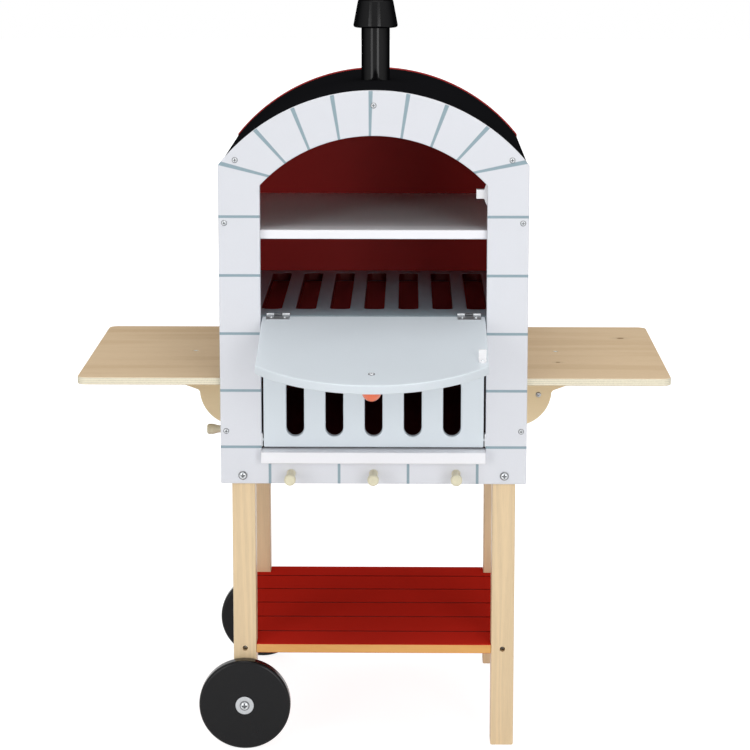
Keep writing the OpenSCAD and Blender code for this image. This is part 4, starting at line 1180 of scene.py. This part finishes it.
class TOYOVEN_OT_trays(bpy.types.Operator):
    """Builds the side trays, their brackets and the cleats behind them."""

    bl_idname = "toy_oven.trays"
    bl_label = "Side trays"

    corner: length_property("Corner", "Radius of a tray's outer corners", 12)
    tip: length_property("Tip", "Height of a bracket's arm at its tip", 12)
    arm: length_property("Arm", "Height of a bracket's arm near the wall", 43)
    round: length_property("Round", "Radius of a bracket's lower corner", 50)
    inset: length_property("Inset", "How far the round's centre lies inside the wall", 6)
    crook: length_property("Crook", "Radius of the hollow under a bracket's arm", 5)
    play: length_property("Play", "Room around the head of a tray's sunk screw", 0.3)

    def execute(self, context):
        edge = sizes().wood_edge
        for side, sign in (("left", -1), ("right", 1)):
            low, high = box(side + "_tray")
            near, far = sorted((abs(low[0]), abs(high[0])))
            outline = filleted([(near, low[1]), (far, low[1]), (far, high[1]), (near, high[1])],
                               [0, self.corner, self.corner, 0], 9)
            sunk = [circle((abs(top[0]), top[1]), r + self.play)
                    for top, axis, r, *_ in fasteners("tray_screws")
                    if axis[2] < -0.9 and top[0] * sign > 0]
            tray = board(outline, high[2] - low[2], edge, sunk, hole_edge=HOLE_EDGE)
            mirror = axes(X * sign, Y, Z)
            make_piece(side + "_tray_board", tray.moved(mirror, (0, 0, low[2])),
                       side.capitalize() + " tray plywood", side + "_tray")
            low, high = box(side + "_bracket")
            arm = self.outline(near, max(abs(low[0]), abs(high[0])), low[2], high[2])
            bracket = board(arm, high[1] - low[1], edge)
            make_piece(side + "_tray_bracket", bracket.moved(axes(X * sign, Z, Y), (0, low[1], 0)),
                       "Bracket plywood", side + "_bracket")
            make_piece(side + "_tray_cleat", bar(*box(side + "_cleat"), edge, "x"), "Batten wood",
                       side + "_cleat")
        return {"FINISHED"}

    def outline(self, wall, tip, bottom, top):
        """An arm that gets thinner outwards, then a hollow, then a quarter circle to the wall."""
        low = top - self.arm
        reach = wall - self.inset + self.round
        start = math.degrees(math.acos(self.inset / self.round))
        quarter = arc((wall - self.inset, low), self.round, -start, -4, 28)
        corners = np.concatenate([quarter[-2:], [(reach + 2 * MM, low - 0.5 * MM),
                                                 (tip, top - self.tip), (tip, top), (wall, top)],
                                  quarter[:1]])
        rounded = filleted(corners, [0, 0, self.crook, 2 * MM, 1 * MM, 0, 0], 6)
        return np.concatenate([quarter[1:-2], rounded])


class TOYOVEN_OT_stand(bpy.types.Operator):
    """Builds the four legs and the grooved lower shelf."""

    bl_idname = "toy_oven.stand"
    bl_label = "Legs and lower shelf"

    groove: length_property("Groove", "Width and depth of a groove", 1.6)
    sink: length_property("Sink", "Radius of the holes for the legs' sunk screws", 3.5)
    edge: length_property("Edge", "Radius of the edges at a leg's front and back", 1.68)
    corner: length_property("Corner", "Radius of a leg's other edges", 2.016)
    slice_edge: length_property("Slice edge", "Radius of the edges at the shelf's ends", 0.2)
    lip: length_property("Lip", "Radius of the edges of a groove", 0.3)
    root: length_property("Root", "Radius of the bottom of a groove", 0.1)

    def execute(self, context):
        heads = [found[0] for found in fasteners("shelf_screws")]
        for end in ("front", "rear"):
            for side in ("left", "right"):
                node = f"{end}_{side}_leg"
                low, high = box(node)
                sunk = [circle((x, z), self.sink) for x, y, z in heads
                        if low[0] < x < high[0] and low[1] < y < high[1]]
                outline = rectangle((low[0], low[2]), (high[0], high[2]), self.corner)
                post = board(outline, high[1] - low[1], self.edge, sunk, hole_edge=HOLE_EDGE)
                make_piece(node + "_post", post.moved(UPRIGHT, (0, low[1], 0)), "Leg wood", node)
        low, high = box("lower_shelf")
        front, back = box("front_left_leg"), box("rear_left_leg")
        notch_x = -front[1][0] - NOTCH_PLAY
        strips = [self.strip(-notch_x, notch_x, low[1], high[1], low, high)]
        between = (front[1][1] + NOTCH_PLAY, back[0][1] - NOTCH_PLAY)
        lapped = notch_x - SLICE_LAP
        for x0, x1 in ((low[0], -lapped), (lapped, high[0])):
            strips.append(self.strip(x0, x1, *between, low, high))
        make_piece("grooved_shelf", strips, "Lower shelf paint", "lower_shelf")
        return {"FINISHED"}

    def strip(self, x0, x1, y0, y1, low, high):
        """A slice of the shelf: its cross-section in y and z, with V grooves, carried along x."""
        r, g = sizes().board_edge, self.groove
        tops = groove_places()[::-1]
        notch = [(y + k * g / 2, high[2] - (g if k == 0 else 0))
                 for y in tops for k in (1, 0, -1)]
        corners = [(y0, low[2]), (y1, low[2]), (y1, high[2]), *notch, (y0, high[2])]
        radii = [r, r, r] + [self.lip, self.root, self.lip] * len(tops) + [r]
        section = filleted(corners, radii, 4)
        shape = board(section, x1 - x0, self.slice_edge, rings=1).moved(SIDEWAYS, (x0, 0, 0))
        y, z = shape.points[:, 1], shape.points[:, 2]
        middle, half = (low[2] + high[2]) / 2, (high[2] - low[2]) / 2
        on_edge = (np.abs(z - middle) < half - 0.3 * r) & (
            (np.abs(y - y0) < r) | (np.abs(y - y1) < r))
        shape.masks["side"] = on_edge.astype(float)
        return shape


class TOYOVEN_OT_wheels(bpy.types.Operator):
    """Builds the two wheels, their washers and spacers."""

    bl_idname = "toy_oven.wheels"
    bl_label = "Wheels"

    rim: length_property("Rim", "Radius of the wheels' rounded rim", 4)
    bore: length_property("Bore", "Radius of the bore", 4.05)
    bore_edge: length_property("Bore edge", "Radius of the bore's edges", 0.8)

    def execute(self, context):
        for end in ("front", "rear"):
            node = end + "_wheel"
            low, high = box(node)
            middle = (low + high) / 2
            r, w = (high[0] - low[0]) / 2, high[1] - low[1]
            corners = [(self.bore, 0), (r, 0), (r, w), (self.bore, w)]
            profile = filleted(corners, [self.bore_edge, self.rim, self.rim, self.bore_edge], 9)
            profile = np.concatenate([profile, profile[:1]])
            wheel = turned(profile, 160).moved(facing((0, 1, 0)), (middle[0], low[1], middle[2]))
            make_piece(node + "_disc", wheel, "Wheel paint", node, node)
        # The radii of the rings' edges, in millimetres
        edges = {"axle_washers": 0.5, "wheel_spacers": 0.3, "leg_washers": 0.4}
        for node, edge in edges.items():
            make_piece(node + "_rings", self.rings(node, edge * MM), "Dull zinc", node)
        return {"FINISHED"}

    def rings(self, node, edge):
        """Flat rings along y, each a rounded rectangle turned about its bolt."""
        made = []
        for points in solids(node):
            low, high = points.min(0), points.max(0)
            middle = (low + high) / 2
            away = np.hypot(points[:, 0] - middle[0], points[:, 2] - middle[2])
            t = high[1] - low[1]
            corners = [(away.min(), 0), (away.max(), 0), (away.max(), t), (away.min(), t)]
            profile = filleted(corners, edge, 4)
            profile = np.concatenate([profile, profile[:1]])
            made.append(turned(profile, 48).moved(facing((0, 1, 0)),
                                                  (middle[0], low[1], middle[2])))
        return made


class TOYOVEN_OT_pegs(bpy.types.Operator):
    """Builds the turned pegs."""

    bl_idname = "toy_oven.pegs"
    bl_label = "Pegs"

    base: length_property("Base", "Radius of a peg at its board", 5.8)
    waist: length_property("Waist", "Radius of a peg's waist", 5.2)
    head: length_property("Head", "Radius of a peg's head", 7.3)
    pin: length_property("Pin", "Length of the pin in the board", 9)
    pin_r: length_property("Pin radius", "Radius of the pin", 4)

    def execute(self, context):
        for node, direction in (("front_pegs", -Y), ("side_peg", -X)):
            pegs = []
            for points in solids(node):
                along = points @ direction
                middle = (points.min(0) + points.max(0)) / 2
                foot = middle + direction * (along.min() + self.pin - middle @ direction)
                reach = np.ptp(along) - self.pin
                pegs.append(turned(self.profile(reach), 40).moved(facing(direction), foot))
            make_piece(node + "_turned", pegs, "Peg wood", node, sharp=50.0)
        return {"FINISHED"}

    def profile(self, reach):
        """Pin, base, slim waist, and a bulb whose outline is smooth through its corners."""
        corners = [(0, -self.pin), (self.pin_r, -self.pin), (self.pin_r, 0), (self.base, 0),
                   (self.base, 0.07 * reach), (self.waist, 0.3 * reach),
                   (self.waist, 0.6 * reach), (self.head, 0.78 * reach),
                   (self.head, reach), (0, reach)]
        tight = [0, 0.5 * MM, 0, 0.5 * MM, 3 * MM, 12 * MM, 12 * MM, 3 * MM, 3 * MM, 0]
        return filleted(corners, tight, 8)


# ---- Screws ----

# A screw's recess as shares of its head's radius: the arms' reach, the stretch over which they
# end, their half width and the stretch over which they fall off, and where the painted shade
# round the rim begins. Then, as shares of the head's height, the recess's depth and the dome's
# drop at the rim.
ARM_REACH, ARM_END, ARM_HALF, ARM_FALL, SHADED_RIM = 0.56, 0.14, 0.17, 0.07, 0.8
RECESS_DEPTH, DOME_DROP = 0.75, 0.85


def crossed_screw(head_r, head_h, shank_r, length, dark, spokes=48):
    """A pan head with a cross recess, and its shank, pointing along z from the head's top.

    The head is a polar grid: height 1 - drop q^2.6, q the share of the radius, less a recess
    that is deepest at the centre and falls off across each of two crossed arms.
    """
    q = np.concatenate([np.linspace(0, 0.62, 7), np.linspace(0.72, 1.0, 4)])
    a = np.linspace(0, 2 * math.pi, spokes, endpoint=False)
    x, y = q[:, None] * np.cos(a), q[:, None] * np.sin(a)
    dome = 1 - DOME_DROP * q[:, None] ** 2.6

    def arm(p, t):
        return (np.clip((ARM_REACH - np.abs(p)) / ARM_END, 0, 1)
                * np.clip((ARM_HALF - np.abs(t)) / ARM_FALL, 0, 1))

    recess = RECESS_DEPTH * np.maximum(arm(x, y), arm(y, x))
    top = np.stack([x * head_r, y * head_r, (1 - np.clip(dome - recess, 0.05, 1)) * head_h], -1)
    side = [(head_r, head_h * DOME_DROP), (head_r * 0.97, head_h), (shank_r, head_h),
            (shank_r, length - 2 * shank_r), (shank_r * 0.3, length), (0, length)]
    ring = np.stack([np.cos(a), np.sin(a)], 1)
    body = np.array([np.concatenate([ring * r, np.full((spokes, 1), h)], 1) for r, h in side])
    points = np.concatenate([top.reshape(-1, 3), body.reshape(-1, 3)])
    # The rim mask carries painted shade: in the recess and round the head's rim
    head_shade = np.concatenate([np.clip(recess * 1.3 + (q[:, None] > SHADED_RIM), 0, 1).ravel(),
                            np.repeat([1.0, 1.0, 0, 0, 0, 0], spokes)])
    return Shape(points, [quads(len(q) + len(side), spokes)], head_shade * dark)


class TOYOVEN_OT_screws(bpy.types.Operator):
    """Builds every screw and bolt, with a cross recess in its head."""

    bl_idname = "toy_oven.screws"
    bl_label = "Screws and bolts"

    def execute(self, context):
        bodies = dict.fromkeys(("panel_screws", "wall_screws", "leg_bolts", "shelf_screws",
                                "tray_screws", "axle_bolts", "chimney_screw",
                                "frame_small_screws"), "cart")
        bodies.update(dict.fromkeys(("door_small_screws", "upper_knob_screw"), "upper_door"))
        bodies.update(dict.fromkeys(("lower_knob_screw", "plate_screws"), "lower_door"))
        for node, body in bodies.items():
            # How dark the painted shade is in a head's recess and round its rim
            dark = 0.15 if "small" in node else 0.5 if node == "tray_screws" else 1.0
            screws = [crossed_screw(r, h, shank, length, dark).moved(facing(axis), top)
                      for top, axis, r, h, shank, length in fasteners(node)]
            make_piece(node + "_set", screws, "Zinc", node, body)
        return {"FINISHED"}


class TOYOVEN_OT_kept(bpy.types.Operator):
    """Gives the pieces that keep the model's own shape their finishes."""

    bl_idname = "toy_oven.kept"
    bl_label = "Finishes of kept pieces"

    def execute(self, context):
        kept = {"door_striker": "Plastic", "door_catch": "Plastic", "grate_magnet": "Plastic",
                # The frame's hinge leaves and the pins are darkened as painted shade of the gap at
                # the knuckle
                "frame_hinge_leaves": "Hinge metal", "door_hinge_leaves": "Dull zinc",
                "hinge_pins": "Hinge metal",
                "lower_door_plate": "Zinc", "pivot_plates": "Zinc", "pivot_pins": "Zinc"}
        for node, finish in kept.items():
            mesh = frame["nodes"][node].data
            mesh.materials.clear()
            mesh.materials.append(material_of(finish))
        return {"FINISHED"}


# ---- Stage ----

class TOYOVEN_OT_stage(bpy.types.Operator):
    """Builds the floor, the lights, the world and the camera."""

    bl_idname = "toy_oven.stage"
    bl_label = "Stage"

    camera_place: bpy.props.FloatVectorProperty(
        name="Camera", description="Where the camera stands", size=3, unit="LENGTH",
        default=(0.0444, -3.2634, 1.1373))
    pitch: bpy.props.FloatProperty(name="Pitch", description="How far the camera looks down",
                                   default=math.radians(10.01), subtype="ANGLE")
    yaw: bpy.props.FloatProperty(name="Yaw", description="How far the camera looks to its left",
                                 default=math.radians(0.77), subtype="ANGLE")
    lens: bpy.props.FloatProperty(name="Lens", description="Focal length in mm", default=120.6)
    shift: bpy.props.FloatProperty(name="Shift", description="Vertical shift", default=-0.08)
    middle: length_property("Middle", "Height at which the lamps aim", 500)
    reach: length_property("Floor", "How far the floor reaches from the oven", 14000)

    def execute(self, context):
        scene = context.scene
        scene.view_settings.view_transform = "Standard"
        self.floor()
        self.surround(scene)
        self.lamp("Key", (1.3, -3.6, 0.95), (1.1, 2.4), 43.0)
        self.lamp("Fill", (-1.9, -3.2, 0.9), (1.1, 2.4), 30.0)
        self.lamp("Top", (0.2, -0.4, 3.0), (2.2, 2.2), 29.0)
        data = bpy.data.cameras.new("Camera")
        data.lens, data.sensor_width = self.lens, 36.0
        data.shift_y = self.shift
        camera = bpy.data.objects.new("Camera", data)
        camera.location = self.camera_place
        camera.rotation_euler = (math.pi / 2 - self.pitch, 0.0, self.yaw)
        scene.collection.objects.link(camera)
        scene.camera = camera
        return {"FINISHED"}

    def lamp(self, name, place, size, power):
        """A soft box, wide and tall as size says, that faces the oven's middle."""
        data = bpy.data.lights.new(name, "AREA")
        data.shape, data.energy = "RECTANGLE", power
        data.size, data.size_y = size
        lamp = bpy.data.objects.new(name, data)
        lamp.location = place
        away = Vector(place) - Vector((0, 0, self.middle))
        lamp.rotation_euler = away.to_track_quat("Z", "Y").to_euler()
        bpy.context.scene.collection.objects.link(lamp)

    def floor(self):
        """A wide pale floor that glows white away from the oven, and keeps the shadow near it."""
        mesh, r = bpy.data.meshes.new("floor"), self.reach
        mesh.from_pydata([(-r, -r, 0), (r, -r, 0), (r, r, 0), (-r, r, 0)], [], [(0, 1, 2, 3)])
        material, tree, shader = new_material("Floor", Roughness=0.9)
        seen = seen_white(tree)
        feed(tree, shader.inputs["Base Color"],
             mix_colours(tree, seen, (0.82, 0.82, 0.82), (0.5, 0.5, 0.5)))
        shader.inputs["Emission Color"].default_value = (1, 1, 1, 1)
        away = vector_node(tree, "LENGTH", object_place(tree))
        glow = span(tree, away, 0.7, 1.5, 0.86, 1.0)
        feed(tree, shader.inputs["Emission Strength"], times(tree, seen, glow))
        mesh.materials.append(material)
        floor = bpy.data.objects.new("floor", mesh)
        bpy.context.scene.collection.objects.link(floor)

    def surround(self, scene):
        """An even pale surround that is white where the camera or a mirror sees it."""
        world = bpy.data.worlds.new("Surround")
        world.use_nodes = True
        tree = world.node_tree
        back = tree.nodes["Background"]
        back.inputs["Color"].default_value = (1, 1, 1, 1)
        feed(tree, back.inputs["Strength"],
             span(tree, seen_white(tree), 0.0, 1.0, 0.42, 1.0, smooth=False))
        scene.world = world


class TOYOVEN_PT_panel(bpy.types.Panel):
    """Lists the oven's pieces, sizes and colours."""

    bl_idname = "TOYOVEN_PT_panel"
    bl_label = "Toy oven"
    bl_space_type = "VIEW_3D"
    bl_region_type = "UI"
    bl_category = "Toy oven"

    def draw(self, context):
        for operator in OPERATORS:
            self.layout.operator(operator.bl_idname)
        for group in (context.scene.toy_oven_sizes, context.scene.toy_oven_colours):
            column = self.layout.column()
            for key in group.bl_rna.properties.keys()[2:]:
                column.prop(group, key)


OPERATORS = (TOYOVEN_OT_body, TOYOVEN_OT_boards, TOYOVEN_OT_roof, TOYOVEN_OT_upper_door,
             TOYOVEN_OT_lower_door, TOYOVEN_OT_trays, TOYOVEN_OT_stand, TOYOVEN_OT_wheels,
             TOYOVEN_OT_pegs, TOYOVEN_OT_screws, TOYOVEN_OT_kept, TOYOVEN_OT_stage)
CLASSES = (ToyOvenSizes, ToyOvenColours, *OPERATORS, TOYOVEN_PT_panel)


def register():
    """Registers the classes and the sizes and colours."""
    for cls in CLASSES:
        bpy.utils.register_class(cls)
    bpy.types.Scene.toy_oven_sizes = bpy.props.PointerProperty(type=ToyOvenSizes)
    bpy.types.Scene.toy_oven_colours = bpy.props.PointerProperty(type=ToyOvenColours)


def unregister():
    """Takes back what register made."""
    del bpy.types.Scene.toy_oven_colours
    del bpy.types.Scene.toy_oven_sizes
    for cls in reversed(CLASSES):
        bpy.utils.unregister_class(cls)


def main():
    register()
    for operator in OPERATORS:
        group, name = operator.bl_idname.split(".")
        getattr(getattr(bpy.ops, group), name)()


if __name__ == "__main__":
    main()
